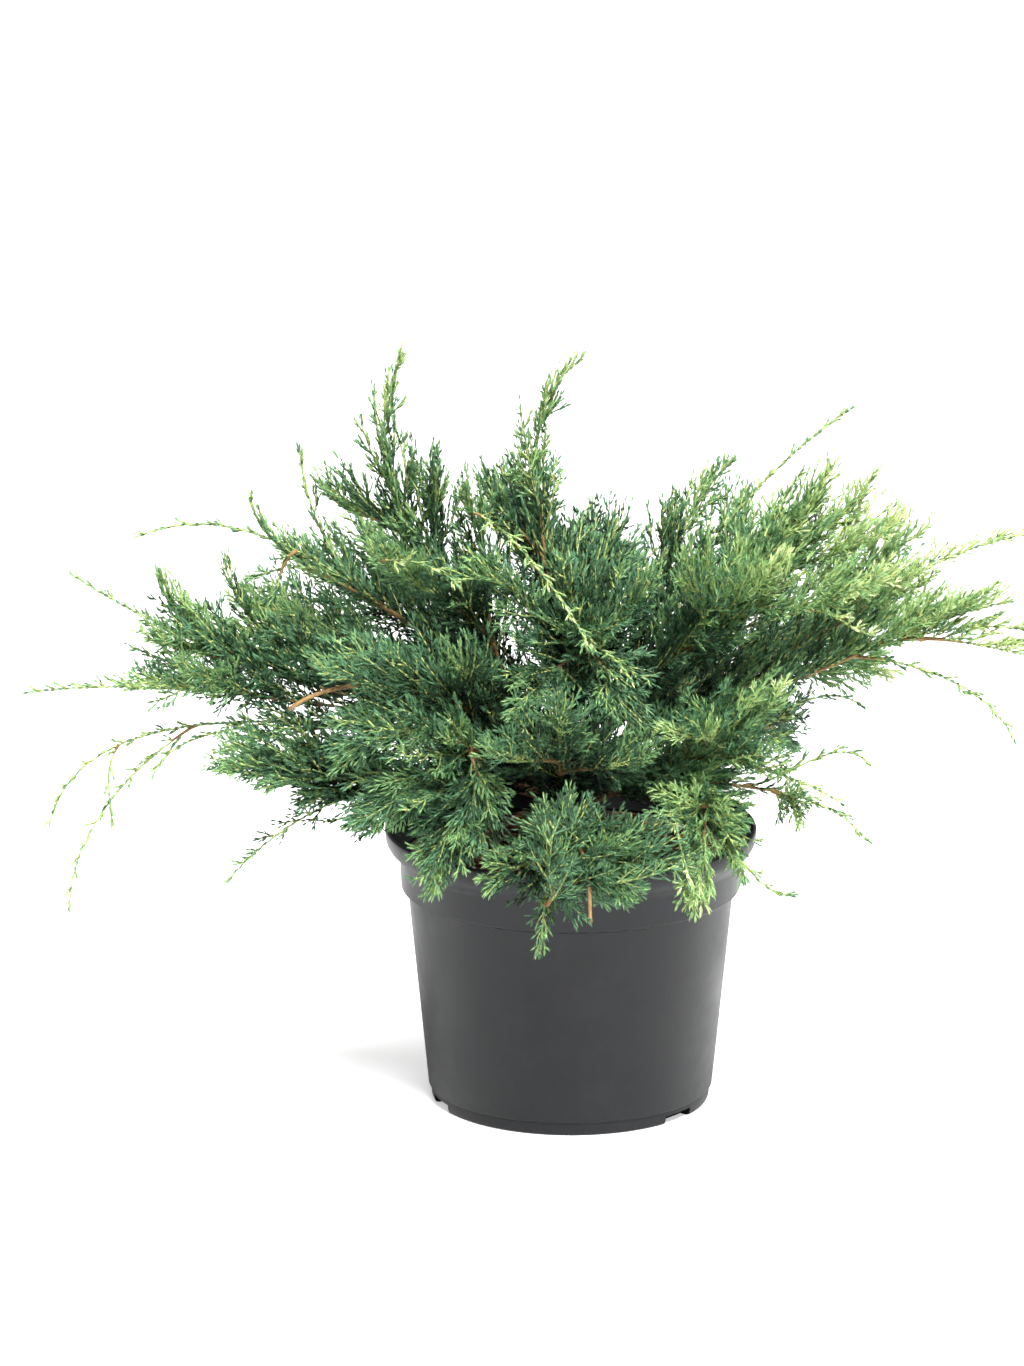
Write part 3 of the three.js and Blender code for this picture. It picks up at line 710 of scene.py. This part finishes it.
def soil_body(pot, edge):
    """Vertices and triangles of the soil: its rough top, its sides within the wall and its floor."""
    angle = np.arange(SOIL_SIDES) * 2 * np.pi / SOIL_SIDES
    r, a = np.meshgrid(np.linspace(0, edge, SOIL_RINGS + 1)[1:], angle, indexing="ij")
    x, y = r * np.cos(a), r * np.sin(a)
    top = np.stack([x, y, soil_height(x, y, edge)], -1).reshape(-1, 3)
    low = pot.foot_height + 0.5
    inside = [(edge, 115.0), (pot.body_top - pot.wall - 0.8, 111.0), (pot.body_base - pot.wall - 1.0, low)]
    rims = [np.stack([r * np.cos(angle), r * np.sin(angle), np.full(SOIL_SIDES, z)], -1) for r, z in inside]
    vertices = np.concatenate([top, *rims, [[0, 0, SOIL_MIDDLE]], [[0, 0, low]]])
    k, turn = np.meshgrid(np.arange(SOIL_RINGS + 2), np.arange(SOIL_SIDES), indexing="ij")
    here, out = k * SOIL_SIDES, (k + 1) * SOIL_SIDES
    after = (turn + 1) % SOIL_SIDES
    quads = np.stack([here + turn, out + turn, out + after, here + after], -1).reshape(-1, 4)
    turn, after = turn[0], after[0]
    last = (SOIL_RINGS + 2) * SOIL_SIDES
    fan = np.stack([np.full(SOIL_SIDES, len(vertices) - 2), turn, after], -1)
    floor = np.stack([np.full(SOIL_SIDES, len(vertices) - 1), last + after, last + turn], -1)
    return vertices, np.concatenate([quads[:, [0, 1, 2]], quads[:, [0, 2, 3]], fan, floor])


def scattered_chips(edge):
    """Vertices and faces of bark chips strewn over the soil, and the kind of each chip."""
    rng = np.random.default_rng(11)
    reach = edge * np.sqrt(rng.random(CHIP_COUNT)) * 0.97
    where = rng.random(CHIP_COUNT) * 2 * np.pi
    x, y = reach * np.cos(where), reach * np.sin(where)
    longest = rng.random((CHIP_COUNT, 1)) ** 2.2 * 5.5 + 1.6
    width = 0.35 + 0.4 * rng.random(CHIP_COUNT)
    thickness = 0.22 + 0.25 * rng.random(CHIP_COUNT)
    sizes = longest * np.stack([np.ones(CHIP_COUNT), width, thickness], -1)
    turn = rng.random(CHIP_COUNT) * 6.28
    tilts = [0.5 * (rng.random(CHIP_COUNT) - 0.5) for _ in range(2)]
    centres = np.stack([x, y, soil_height(x, y, edge) + 0.25 * sizes[:, 2]], -1)
    vertices, faces = chunks(centres, sizes, np.stack([turn, *tilts], -1), 5)
    return vertices, faces, np.searchsorted([0.42, 0.8, 0.96], rng.random(CHIP_COUNT))


class JUNIPER_OT_soil(bpy.types.Operator):
    """Heap the potting soil and scatter its bark chips"""

    bl_idname = "juniper.soil"
    bl_label = "Soil"

    def execute(self, context):
        pot = context.scene.juniper_pot
        edge = pot.collar_radius - pot.wall - 1.4
        soil = mesh_object("potting_soil", *soil_body(pot, edge), [potting_soil()], smooth=True)
        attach(soil, "root")
        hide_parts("soil")
        vertices, faces, kind = scattered_chips(edge)
        kinds = [
            plain_material("bark chip, red-brown", linear("#6e4530"), 0.85),
            plain_material("bark chip, dark", linear("#33211a"), 0.9),
            plain_material("bark chip, weathered", linear("#9b7757"), 0.85),
            plain_material("perlite", linear("#d8d2c4"), 0.9),
        ]
        chips = mesh_object("bark_chips", vertices, faces, kinds, np.repeat(kind, 6))
        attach(chips, "root")
        return {"FINISHED"}


# Wood


def bark_limb(control, radii, steps, sides, seed, relief):
    """A limb with stringy relief: ridges that run along it and wander round it."""
    points, tangents, length = evenly(control, steps)
    side = unit(np.cross(tangents, np.array([0.31, 0.2, 1.0])))
    over = np.cross(side, tangents)
    a = np.arange(sides) * 2 * np.pi / sides
    along = np.linspace(0, 1, steps)[:, None] * length
    ridge = rough(a[None] * 3 + 0.04 * along, along * 0.08, 1.6, seed)
    ridge = ridge + 0.5 * rough(a[None] * 7, along * 0.2, 1.3, seed + 4)
    radius = radii(np.linspace(0, 1, steps))[:, None] * (1 + relief * ridge)
    ring = side[:, None] * np.cos(a)[None, :, None] + over[:, None] * np.sin(a)[None, :, None]
    vertices = (points[:, None] + ring * radius[..., None]).reshape(-1, 3)
    s, k = np.meshgrid(np.arange(steps - 1), np.arange(sides), indexing="ij")
    low, high = s * sides, (s + 1) * sides
    n = (k + 1) % sides
    quads = np.stack([low + k, low + n, high + n, high + k], -1).reshape(-1, 4)
    turn, after = k[0], n[0]
    last, tip, foot = (steps - 1) * sides, steps * sides, steps * sides + 1
    end = np.stack([last + turn, last + after, np.full(sides, tip)], -1)
    start = np.stack([after, turn, np.full(sides, foot)], -1)
    vertices = np.concatenate([vertices, points[-1:] + tangents[-1] * 0.3, points[:1]])
    return vertices, np.concatenate([quads[:, [0, 1, 2]], quads[:, [0, 2, 3]], end, start])


def trunk_radii(t):
    """The trunk's radius at shares t of its length, with its flare at the foot."""
    flare = (TRUNK_FLARE - TRUNK_RADIUS) * np.exp(-t * 9)
    return TRUNK_RADIUS + (TRUNK_TIP_RADIUS - TRUNK_RADIUS) * t + flare


def bough_radii(t):
    """A bough's radius at shares t of its length."""
    return BOUGH_RADIUS + (BOUGH_TIP_RADIUS - BOUGH_RADIUS) * t


class JUNIPER_OT_wood(bpy.types.Operator):
    """Grow the trunk and boughs with their stringy bark"""

    bl_idname = "juniper.wood"
    bl_label = "Trunk and boughs"

    def execute(self, context):
        stops = [(0.3, "#3a2a1e"), (0.82, "#ab8c66"), (0.5, "#66492f"), (0.66, "#8a6a46")]
        bark = bark_material("flaking juniper bark", stops, 2.38)
        parts = [bark_limb(trunk_curve(), trunk_radii, 70, 48, 1, 0.07)]
        for seed, control in enumerate(bough_curves().values()):
            parts.append(bark_limb(control, bough_radii, 60, 20, seed + 2, 0.06))
        wood = mesh_object("trunk_and_boughs", *joined(parts), [bark], smooth=True)
        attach(wood, "root")
        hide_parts("trunk", *["bough_" + name for name in BOUGHS])
        return {"FINISHED"}


# Foliage, as chains: thin stems that each start at a root, head one way and bend evenly. A function
# works on the arrays of many chains at once. A plane is the direction in which a chain's twigs spread.

Chains = namedtuple("Chains", "root heading bend length")


def picked(chains, keep):
    """The chains where keep is true."""
    return Chains(*(values[keep] for values in chains))


def chained(groups):
    """Several groups of chains as one."""
    return Chains(*(np.concatenate(values) for values in zip(*groups)))


def bent(root, heading, bend, s):
    """Points at distances s along chains."""
    return root + heading * s[..., None] + bend * (s**2)[..., None]


def shoot_taper(t):
    """How long the shoots are along a leader, as a share of the longest."""
    return (0.7 + 0.3 * np.minimum(1, t / 0.25)) * (1 - t) ** 0.62 + 0.1


def blocked(points):
    """True where a point lies in the pot's wall or in the soil."""
    r, z = np.hypot(points[..., 0], points[..., 1]), points[..., 2]
    over_soil = (r < CLEAR_SOIL_RADIUS) & (z > SOIL_TOP + 1.5)
    pot_radius = np.where(z > CLEAR_COLLAR_FOOT, CLEAR_COLLAR_RADIUS, CLEAR_BODY_RADIUS)
    return (z < CLEAR_TOP) & (r < pot_radius) & ~over_soil


def shortened(chains):
    """The chains, each cut back to where it first meets the pot or the soil."""
    root, heading, bend, length = chains
    share = np.linspace(0.05, 1, 12)
    hit = blocked(bent(root[:, None], heading[:, None], bend[:, None], length[:, None] * share))
    first = np.where(hit.any(1), hit.argmax(1), len(share))
    cut = length * np.concatenate([[0], share])[first] * 0.97
    return chains._replace(length=np.where(first == len(share), length, cut))


def opened(tangent, side, opening, lift=0.0):
    """Directions that open from the tangent to the side by an angle, a little lifted."""
    return unit(tangent * np.cos(opening)[:, None] + side * np.sin(opening)[:, None] + UP * lift)


def numbered(count):
    """Whose each item is, where each owner has its count of them, and its number for that owner."""
    owner = np.repeat(np.arange(len(count)), count)
    return owner, np.arange(len(owner)) - (np.cumsum(count) - count)[owner]


def children(parents, plane, pitch, open_angle, longest, share, seed, start=0.1, twist=1.5):
    """Twigs left and right along chains: the parent of each, the twigs and their planes."""
    root, heading, bend, length = parents
    owner, order = numbered(np.maximum(0, ((length * (1 - start)) / pitch).astype(int)))
    s = length[owner] * start + (order + 0.5 * chance(owner, order, seed)) * pitch
    keep = s < length[owner] * 0.97
    owner, order, s = owner[keep], order[keep], s[keep]
    tangent = unit(heading[owner] + 2 * bend[owner] * s[:, None])
    across = unit(plane[owner] - tangent * np.sum(plane[owner] * tangent, 1, keepdims=True))
    over = np.cross(tangent, across)
    hand = np.where(order % 2 == 0, 1.0, -1.0)
    tilt = (chance(owner, order, seed + 1) - 0.5) * twist
    side = across * (hand * np.cos(tilt))[:, None] + over * np.sin(tilt)[:, None]
    opening = np.radians(open_angle * (0.8 + 0.4 * chance(owner, order, seed + 2)))
    left = length[owner] - s
    grown = np.minimum(longest, share * left + 2.5) * (0.6 + 0.6 * chance(owner, order, seed + 3))
    curl = (tangent * 0.5 - side * 0.5 + UP * 0.12) * (0.5 * np.sin(opening) / np.maximum(grown, 1))[:, None]
    place = bent(root[owner], heading[owner], bend[owner], s)
    return owner, Chains(place, opened(tangent, side, opening), curl, grown), across


def turned_up(side, rise):
    """Sideways directions, with those that would hang from a rising leader turned up."""
    if rise <= HANGING_RISE:
        return side
    lifted = side.copy()
    lifted[:, 2] = np.where(side[:, 2] < 0, side[:, 2] * -TURN_UP, side[:, 2])
    return unit(lifted)


def round_stem(points, tangents, t):
    """Places on a stem, its direction there and two directions across it."""
    root, tangent = at(points, t), at(tangents, t)
    across = unit(np.cross(tangent, unit(root - CROWN_HEART)))
    return root, tangent, across, np.cross(across, tangent)


def side_stems(leader, rise, fullness, spread, key):
    """Lesser stems that fork from a leader all round it, their planes and their places along it."""
    points, tangents, length = leader
    count = int(length * 0.8 / (14 if rise <= HANGING_RISE else 21))
    i = np.arange(count)
    t = 0.08 + 0.74 * (i + 0.6 * chance(key, i, 41)) / max(count, 1)
    root, tangent, across, over = round_stem(points, tangents, t)
    roll = np.radians(i * GOLDEN_ANGLE + 360 * chance(key, 2, 42))
    side = turned_up(across * np.cos(roll)[:, None] + over * np.sin(roll)[:, None], rise)
    heading = opened(tangent, side, np.radians(44 - 14 * t), 0.1)
    grown = spread * 0.95 * fullness * shoot_taper(t) * (0.7 + 0.4 * chance(key, i, 43))
    grown = np.minimum(grown, (1 - t) * length * 0.75 + 8)
    bend = (tangent * 0.3 - side * 0.25 + UP * 0.12) / np.maximum(grown, 10)[:, None]
    stems = shortened(Chains(root, heading, bend, grown))
    keep = (stems.length > 16) & ~blocked(root)
    return picked(stems, keep), unit(np.cross(heading, over))[keep], t[keep]


def main_shoots(leader, rise, fullness, spread, settings, key, fade=1.0):
    """The shoots that a leader, or with a small fade a bough, carries, their planes and places."""
    points, tangents, length = leader
    hanging = rise <= HANGING_RISE and fullness >= 0.5
    pitch = settings.shoot_pitch * (0.7 if hanging else 1.0 if fullness >= 0.5 else 1.5)
    count = int(length * 0.95 / pitch)
    i = np.arange(count)
    t = 0.04 + 0.95 * (i + 0.7 * chance(key, i, 4)) / count
    root, tangent, across, over = round_stem(points, tangents, t)
    roll = np.radians(i * GOLDEN_ANGLE + 360 * chance(key, 1, 5))
    side = turned_up(across * np.cos(roll)[:, None] + over * 0.75 * np.sin(roll)[:, None], rise)
    opening = np.radians(50 - 20 * t + 16 * (chance(key, i, 6) - 0.5))
    heading = opened(tangent, side, opening, 0.08)
    longest = spread * settings.shoot_share * fullness * shoot_taper(fade * t)
    grown = longest * (0.55 + 0.6 * chance(key, i, 7))
    grown = np.maximum(np.minimum(grown, (1 - fade * t) * length * 0.7 + 10), 5)
    lift = settings.lift if rise > HANGING_RISE else 0.4 * settings.lift
    bend = (tangent * 0.35 - side * 0.3 + UP * lift) / np.maximum(grown, 8)[:, None]
    shoots = shortened(Chains(root, heading, bend, grown))
    shoots = shoots._replace(bend=bend * 0.8)
    keep = (shoots.length > 3) & ~blocked(root)
    return picked(shoots, keep), unit(np.cross(heading, over))[keep], t[keep]


def leader_sprays(name, settings, index):
    """A mass's shoots as (chains, planes, places along the leader), its leaders and their forks."""
    spread = MASSES[name][1]
    sprays, leaders, forks = [], [], []
    for k, (control, rise, fullness) in enumerate(LEADERS[name]):
        key = index * 7 + k
        leader = evenly(control, 161)
        leaders.append((*leader, fullness))
        sprays.append(main_shoots(leader, rise, fullness, spread, settings, key))
        if fullness < 0.55:
            continue
        fork, plane, t = side_stems(leader, rise, fullness, spread, key)
        forks.append(fork)
        owner, shoots, plane = children(fork, plane, settings.shoot_pitch, 44, 30, 0.55, 60 + key, 0.12, 2.6)
        shoots = shortened(shoots)
        keep = shoots.length > 3
        sprays.append((picked(shoots, keep), plane[keep], t[owner][keep]))
    return sprays, leaders, forks


def loose_sprays(name, leaders, settings, index):
    """The sprays of a mass's loose stems, which join its leaders, and the lines of its cut stubs."""
    sprays, stubs = [], []
    for owner, k, share, tip, rise, kind in LOOSE_STEMS:
        if owner != name:
            continue
        points, tangents = leaders[k][:2]
        start = at(points, share)
        heading = unit(unit(np.array(tip) - start) + 0.7 * at(tangents, share))
        leader = evenly(arch(start, heading, tip, rise), 161)
        if kind == "cut":
            stubs.append(leader[0])
            continue
        fullness, fresher = LOOSE_KINDS[kind]
        leaders.append((*leader, fullness))
        shoots, plane, t = main_shoots(leader, rise, fullness, MASSES[name][1], settings, index * 7 + k + 50)
        sprays.append((shoots, plane, t + fresher))
    return sprays, stubs


def bough_sprays(name, settings, index):
    """Shoots on the outer part of the bough that a mass grows from, in rounds; more on a low bough."""
    bough = MASSES[name][0]
    points, tangents, length = evenly(bough_curves()[bough], 161)
    first, rounds, rise = (45, 3, -30) if BOUGHS[bough][0] < 170 else (34, 2, 0)
    outer = points[first:], tangents[first:], length * (160 - first) / 160
    return [main_shoots(outer, rise, 0.85, 84, settings, index * 3 + k + 300, 0.2) for k in range(rounds)]


def grow_mass(name, settings, index):
    """A mass's chains, the hue and the rank of each, its leaders and its cut stubs.

    A hue counts up from deep shade, 0, to new tips, 6. A rank is -1 for a leader's fork, 0 for a shoot,
    1 for a twig and 2 for a twig of a twig.
    """
    sprays, leaders, forks = leader_sprays(name, settings, index)
    loose, stubs = loose_sprays(name, leaders, settings, index)
    sprays += loose
    if name in FIRST_MASSES:
        sprays += bough_sprays(name, settings, index)
    shoots = chained(spray[0] for spray in sprays)
    plane, t = [np.concatenate([spray[k] for spray in sprays]) for k in (1, 2)]
    # Painted shade: the nearer a shoot is to the crown's heart, the darker its leaf colour.
    out = np.linalg.norm(shoots.root - CROWN_HEART, axis=1) / 200
    varied = 2.2 * chance(index, np.arange(len(t)), 8)
    # Painted light: the mass's paleness, set higher on the crown's lit right side, makes its sprays paler.
    hue = MASSES[name][2] * 2.3 + 3.6 * (out - 0.44) + 0.9 * t + varied - 0.8
    owner, twigs, plane = children(shoots, plane, settings.twig_pitch, 36, 21, 0.55, 20)
    twigs = shortened(twigs)
    keep = twigs.length > 2
    twigs, plane, twig_hue = picked(twigs, keep), plane[keep], hue[owner[keep]]
    owner, tips, _ = children(twigs, plane, settings.twig_pitch, 32, 9, 0.45, 30, 0.22)
    keep = (tips.length > 2) & (twigs.length[owner] > 6.5)
    tips, tip_hue = picked(tips, keep), twig_hue[owner[keep]]
    groups = [shoots, twigs, tips, *forks]
    hues = [hue, twig_hue + 0.25, tip_hue + 0.4, *[np.full(len(fork.length), 2.0) for fork in forks]]
    ranks = [0, 1, 2] + [-1] * len(forks)
    rank = np.repeat(ranks, [len(chains.length) for chains in groups])
    return chained(groups), np.concatenate(hues), rank, leaders, stubs


def whorls(chains, pitch):
    """The chain, number, share along the chain, place and direction of each whorl of leaves."""
    root, heading, bend, length = chains
    owner, order = numbered(np.maximum(1, np.ceil(length / pitch).astype(int)))
    s = np.maximum(np.minimum(order * pitch, length[owner] - 0.6 * pitch), 0)
    place = bent(root[owner], heading[owner], bend[owner], s)
    axis = unit(heading[owner] + 2 * bend[owner] * s[:, None])
    return owner, order, s / np.maximum(length[owner], 1e-6), place, axis


def leader_whorls(leaders, pitch):
    """The places and directions of whorls on the leaders themselves, where their leaves still show."""
    places, axes = [], []
    for points, tangents, length, _ in leaders:
        t = np.arange(0.16, 0.995, pitch / length)
        places.append(at(points, t))
        axes.append(at(tangents, t))
    return np.concatenate(places), unit(np.concatenate(axes))


def leaf_mesh(place, axis, order, scale, settings):
    """Three kite-shaped scale leaves for each whorl, each leaf two triangles."""
    pitch, reach = settings.whorl_pitch, settings.leaf_reach
    side = unit(np.cross(axis, np.array([0.21, 0.37, 0.9])))
    over = np.cross(axis, side)
    leaves = []
    for k in range(3):
        turn = 2 * np.pi * k / 3 + np.pi / 3 * (order % 2)
        out = side * np.cos(turn)[:, None] + over * np.sin(turn)[:, None]
        base = place - axis * 0.15 * pitch
        middle = place + axis * (0.55 * pitch) + out * (0.62 * reach * scale)[:, None]
        wide = np.cross(axis, out) * (0.62 * reach * scale)[:, None]
        tip = place + axis * (1.25 * pitch) + out * (reach * scale)[:, None]
        leaves.append(np.stack([base, middle + wide, tip, middle - wide], 1))
    first = np.arange(len(place) * 3) * 4
    faces = np.stack([first, first + 1, first + 2, first, first + 2, first + 3], -1)
    return np.stack(leaves, 1).reshape(-1, 3), faces.reshape(-1, 3)


def clothed(chains, hue, rank, leaders, settings, index):
    """The leaves of one mass as (vertices, faces) pairs, and the number of each face's colour."""
    owner, order, share, place, axis = whorls(chains, settings.whorl_pitch)
    scale = np.where(rank[owner] == 0, 1.05, 0.92) * (1 - 0.35 * share**3)
    leaves = leaf_mesh(place, axis, order, scale, settings)
    tip = np.where(share > 0.72, 0.9, 0) * (0.4 + chance(owner, 1, 9))
    tones = np.clip(hue[owner] + tip, 0, 6.49).astype(int)
    place, axis = leader_whorls(leaders, settings.whorl_pitch)
    order = np.arange(len(place))
    on_leaders = leaf_mesh(place, axis, order, np.full(len(place), 1.25), settings)
    leader_tones = np.clip(2 + 3.5 * chance(order, index, 12), 0, 5).astype(int)
    return [leaves, on_leaders], np.repeat(np.concatenate([tones, leader_tones]), 6)


def woody_share(k, fullness):
    """How much of a mass's leader number k is brown; a whip's forks are brown only at their foot."""
    return 0.12 if k > 0 and fullness < 0.5 else 0.46


def green_wood(chains, rank, leaders):
    """Lines and radii of a mass's green shoots and of the green ends of its leaders."""
    shoots = picked(chains, rank <= 0)
    reach = np.linspace(0, 0.8, 6) * shoots.length[:, None]
    lines = [bent(shoots.root[:, None], shoots.heading[:, None], shoots.bend[:, None], reach)]
    radii = [np.ones((len(reach), 1)) * np.linspace(0.62, 0.4, 6)]
    for k, (points, _, _, fullness) in enumerate(leaders):
        for first, last in ((woody_share(k, fullness) - 0.01, 0.75), (0.74, 0.985)):
            share = np.linspace(first, last, 6)
            lines.append(at(points, share)[None])
            radii.append((0.64 - 0.3 * share)[None])
    return np.concatenate(lines), np.concatenate(radii)


def brown_wood(leaders, stubs):
    """Lines and radii of a mass's cut stubs and of the brown lower parts of its leaders."""
    lines = [at(points, np.append(np.linspace(0, 1, 15), 1.0)) for points in stubs]
    radii = [np.append(np.linspace(1.25, 1.0, 15), 0.02) for _ in stubs]
    for k, (points, _, _, fullness) in enumerate(leaders):
        lines.append(at(points, np.linspace(0, woody_share(k, fullness), 16)))
        radii.append(np.linspace(0.9 if fullness < 0.5 else 1.4, 0.66, 16))
    return np.array(lines), np.array(radii)


class JUNIPER_OT_foliage(bpy.types.Operator):
    """Grow every mass's shoots and twigs and clothe them in scale leaves"""

    bl_idname = "juniper.foliage"
    bl_label = "Foliage"

    def execute(self, context):
        s = context.scene.juniper_foliage
        if sorted(sum(FOLIAGE_PIECES.values(), ())) != sorted(MASSES):
            raise RuntimeError("a mass is in no piece of foliage, or in two")
        materials = []
        for name in LEAF_COLOURS:
            colour = getattr(s, name.replace(" ", "_").replace("-", "_"))
            materials.append(plain_material("scale leaves, " + name, colour))
        green, brown = [], []
        for piece, members in FOLIAGE_PIECES.items():
            parts, tones = [], []
            for name in members:
                index = list(MASSES).index(name)
                chains, hue, rank, leaders, stubs = grow_mass(name, s, index)
                pairs, tone = clothed(chains, hue, rank, leaders, s, index)
                parts += pairs
                tones.append(tone)
                green.append(green_wood(chains, rank, leaders))
                brown.append(brown_wood(leaders, stubs))
            leaves = mesh_object(piece, *joined(parts), materials, np.concatenate(tones))
            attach(leaves, "root")
            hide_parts(*["mass_" + name for name in members])
        greens = [(0.3, "#7c8c46"), (0.8, "#bcb473"), (0.55, "#a2ae62")]
        browns = [(0.3, "#5b4429"), (0.8, "#a08a55"), (0.55, "#83653c")]
        for name, runs, sides, bark in (
            ("green_shoots", green, 3, bark_material("young green bark", greens, 3.33)),
            ("brown_twigs", brown, 6, bark_material("brown twig bark", browns, 3.33)),
        ):
            lines, radii = (np.concatenate(part) for part in zip(*runs))
            obj = mesh_object(name, *tubes(lines, radii, sides), [bark], smooth=True)
            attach(obj, "root")
        return {"FINISHED"}


# Stage


def paper_floor():
    """A wide sheet of matt white paper, which glows a little where the camera sees it."""
    sheet = bmesh.new()
    bmesh.ops.create_grid(sheet, x_segments=1, y_segments=1, size=20)
    material, tree, shader = new_material("matt white paper")
    shader.inputs["Base Color"].default_value = linear("#f4f4f4")
    shader.inputs["Roughness"].default_value = 0.9
    shader.inputs["Emission Color"].default_value = (1, 1, 1, 1)
    seen = node(tree, "ShaderNodeLightPath").outputs["Is Camera Ray"]
    glow = node(tree, "ShaderNodeMath", {"operation": "MULTIPLY"}, in0=seen, in1=FLOOR_GLOW)
    tree.links.new(glow.outputs["Value"], shader.inputs["Emission Strength"])
    return object_from("floor", sheet, material)


def add_light(name, place, width, watts):
    """A square area light that faces the plant."""
    light = bpy.data.lights.new(name, "AREA")
    light.size = width
    light.energy = watts
    lamp = bpy.data.objects.new(name, light)
    lamp.location = place
    lamp.rotation_euler = (Vector(LIGHT_AIM) - Vector(place)).to_track_quat("-Z", "Y").to_euler()
    bpy.context.scene.collection.objects.link(lamp)


def add_camera():
    """A long lens that looks down at the plant from the front."""
    camera = bpy.data.cameras.new("camera")
    camera.sensor_width = 36
    camera.lens = CAMERA_LENS
    camera.clip_end = 100
    holder = bpy.data.objects.new("camera", camera)
    tilt = math.radians(CAMERA_TILT)
    holder.location = Vector(CAMERA_AIM) + CAMERA_DISTANCE * Vector((0, -math.cos(tilt), math.sin(tilt)))
    holder.rotation_euler = (math.pi / 2 - tilt, 0, 0)
    bpy.context.scene.collection.objects.link(holder)
    return holder


class JUNIPER_OT_stage(bpy.types.Operator):
    """Set the pale floor, the soft lights and the camera"""

    bl_idname = "juniper.stage"
    bl_label = "Stage"

    def execute(self, context):
        floor = paper_floor()
        world = bpy.data.worlds.new("studio")
        world.use_nodes = True
        background = world.node_tree.nodes["Background"]
        background.inputs["Color"].default_value = (1, 1, 1, 1)
        background.inputs["Strength"].default_value = WORLD_STRENGTH
        context.scene.world = world
        for name, light in LIGHTS.items():
            add_light(name, *light)
        context.scene.camera = add_camera()
        context.scene.view_settings.view_transform = "Standard"
        return {"FINISHED"}


class JUNIPER_PT_panel(bpy.types.Panel):
    """The operators and their settings in the 3D view's sidebar"""

    bl_label = "Potted Juniper"
    bl_idname = "JUNIPER_PT_panel"
    bl_space_type = "VIEW_3D"
    bl_region_type = "UI"
    bl_category = "Juniper"

    def draw(self, context):
        for name in ("pot", "soil", "wood", "foliage", "stage"):
            self.layout.operator("juniper." + name)
        for group in (context.scene.juniper_pot, context.scene.juniper_foliage):
            for key in group.__annotations__:
                self.layout.prop(group, key)


CLASSES = (
    JuniperPotSettings,
    JuniperFoliageSettings,
    JUNIPER_OT_pot,
    JUNIPER_OT_soil,
    JUNIPER_OT_wood,
    JUNIPER_OT_foliage,
    JUNIPER_OT_stage,
    JUNIPER_PT_panel,
)


def register():
    for cls in CLASSES:
        bpy.utils.register_class(cls)
    bpy.types.Scene.juniper_pot = bpy.props.PointerProperty(type=JuniperPotSettings)
    bpy.types.Scene.juniper_foliage = bpy.props.PointerProperty(type=JuniperFoliageSettings)


def unregister():
    del bpy.types.Scene.juniper_foliage
    del bpy.types.Scene.juniper_pot
    for cls in reversed(CLASSES):
        bpy.utils.unregister_class(cls)


# The leaders' lines, the first mass of each bough, and the leaf colours from dark to pale.
LEADERS = leader_curves()
FIRST_MASSES = {row[0]: name for name, row in reversed(MASSES.items())}.values()
LEAF_COLOURS = ("deep shade", "shaded", "blue-green", "grey-green", "green", "fresh", "new tips")


def main():
    register()
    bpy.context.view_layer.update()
    for name in ("stage", "pot", "soil", "wood", "foliage"):
        getattr(bpy.ops.juniper, name)()


if __name__ == "__main__":
    main()
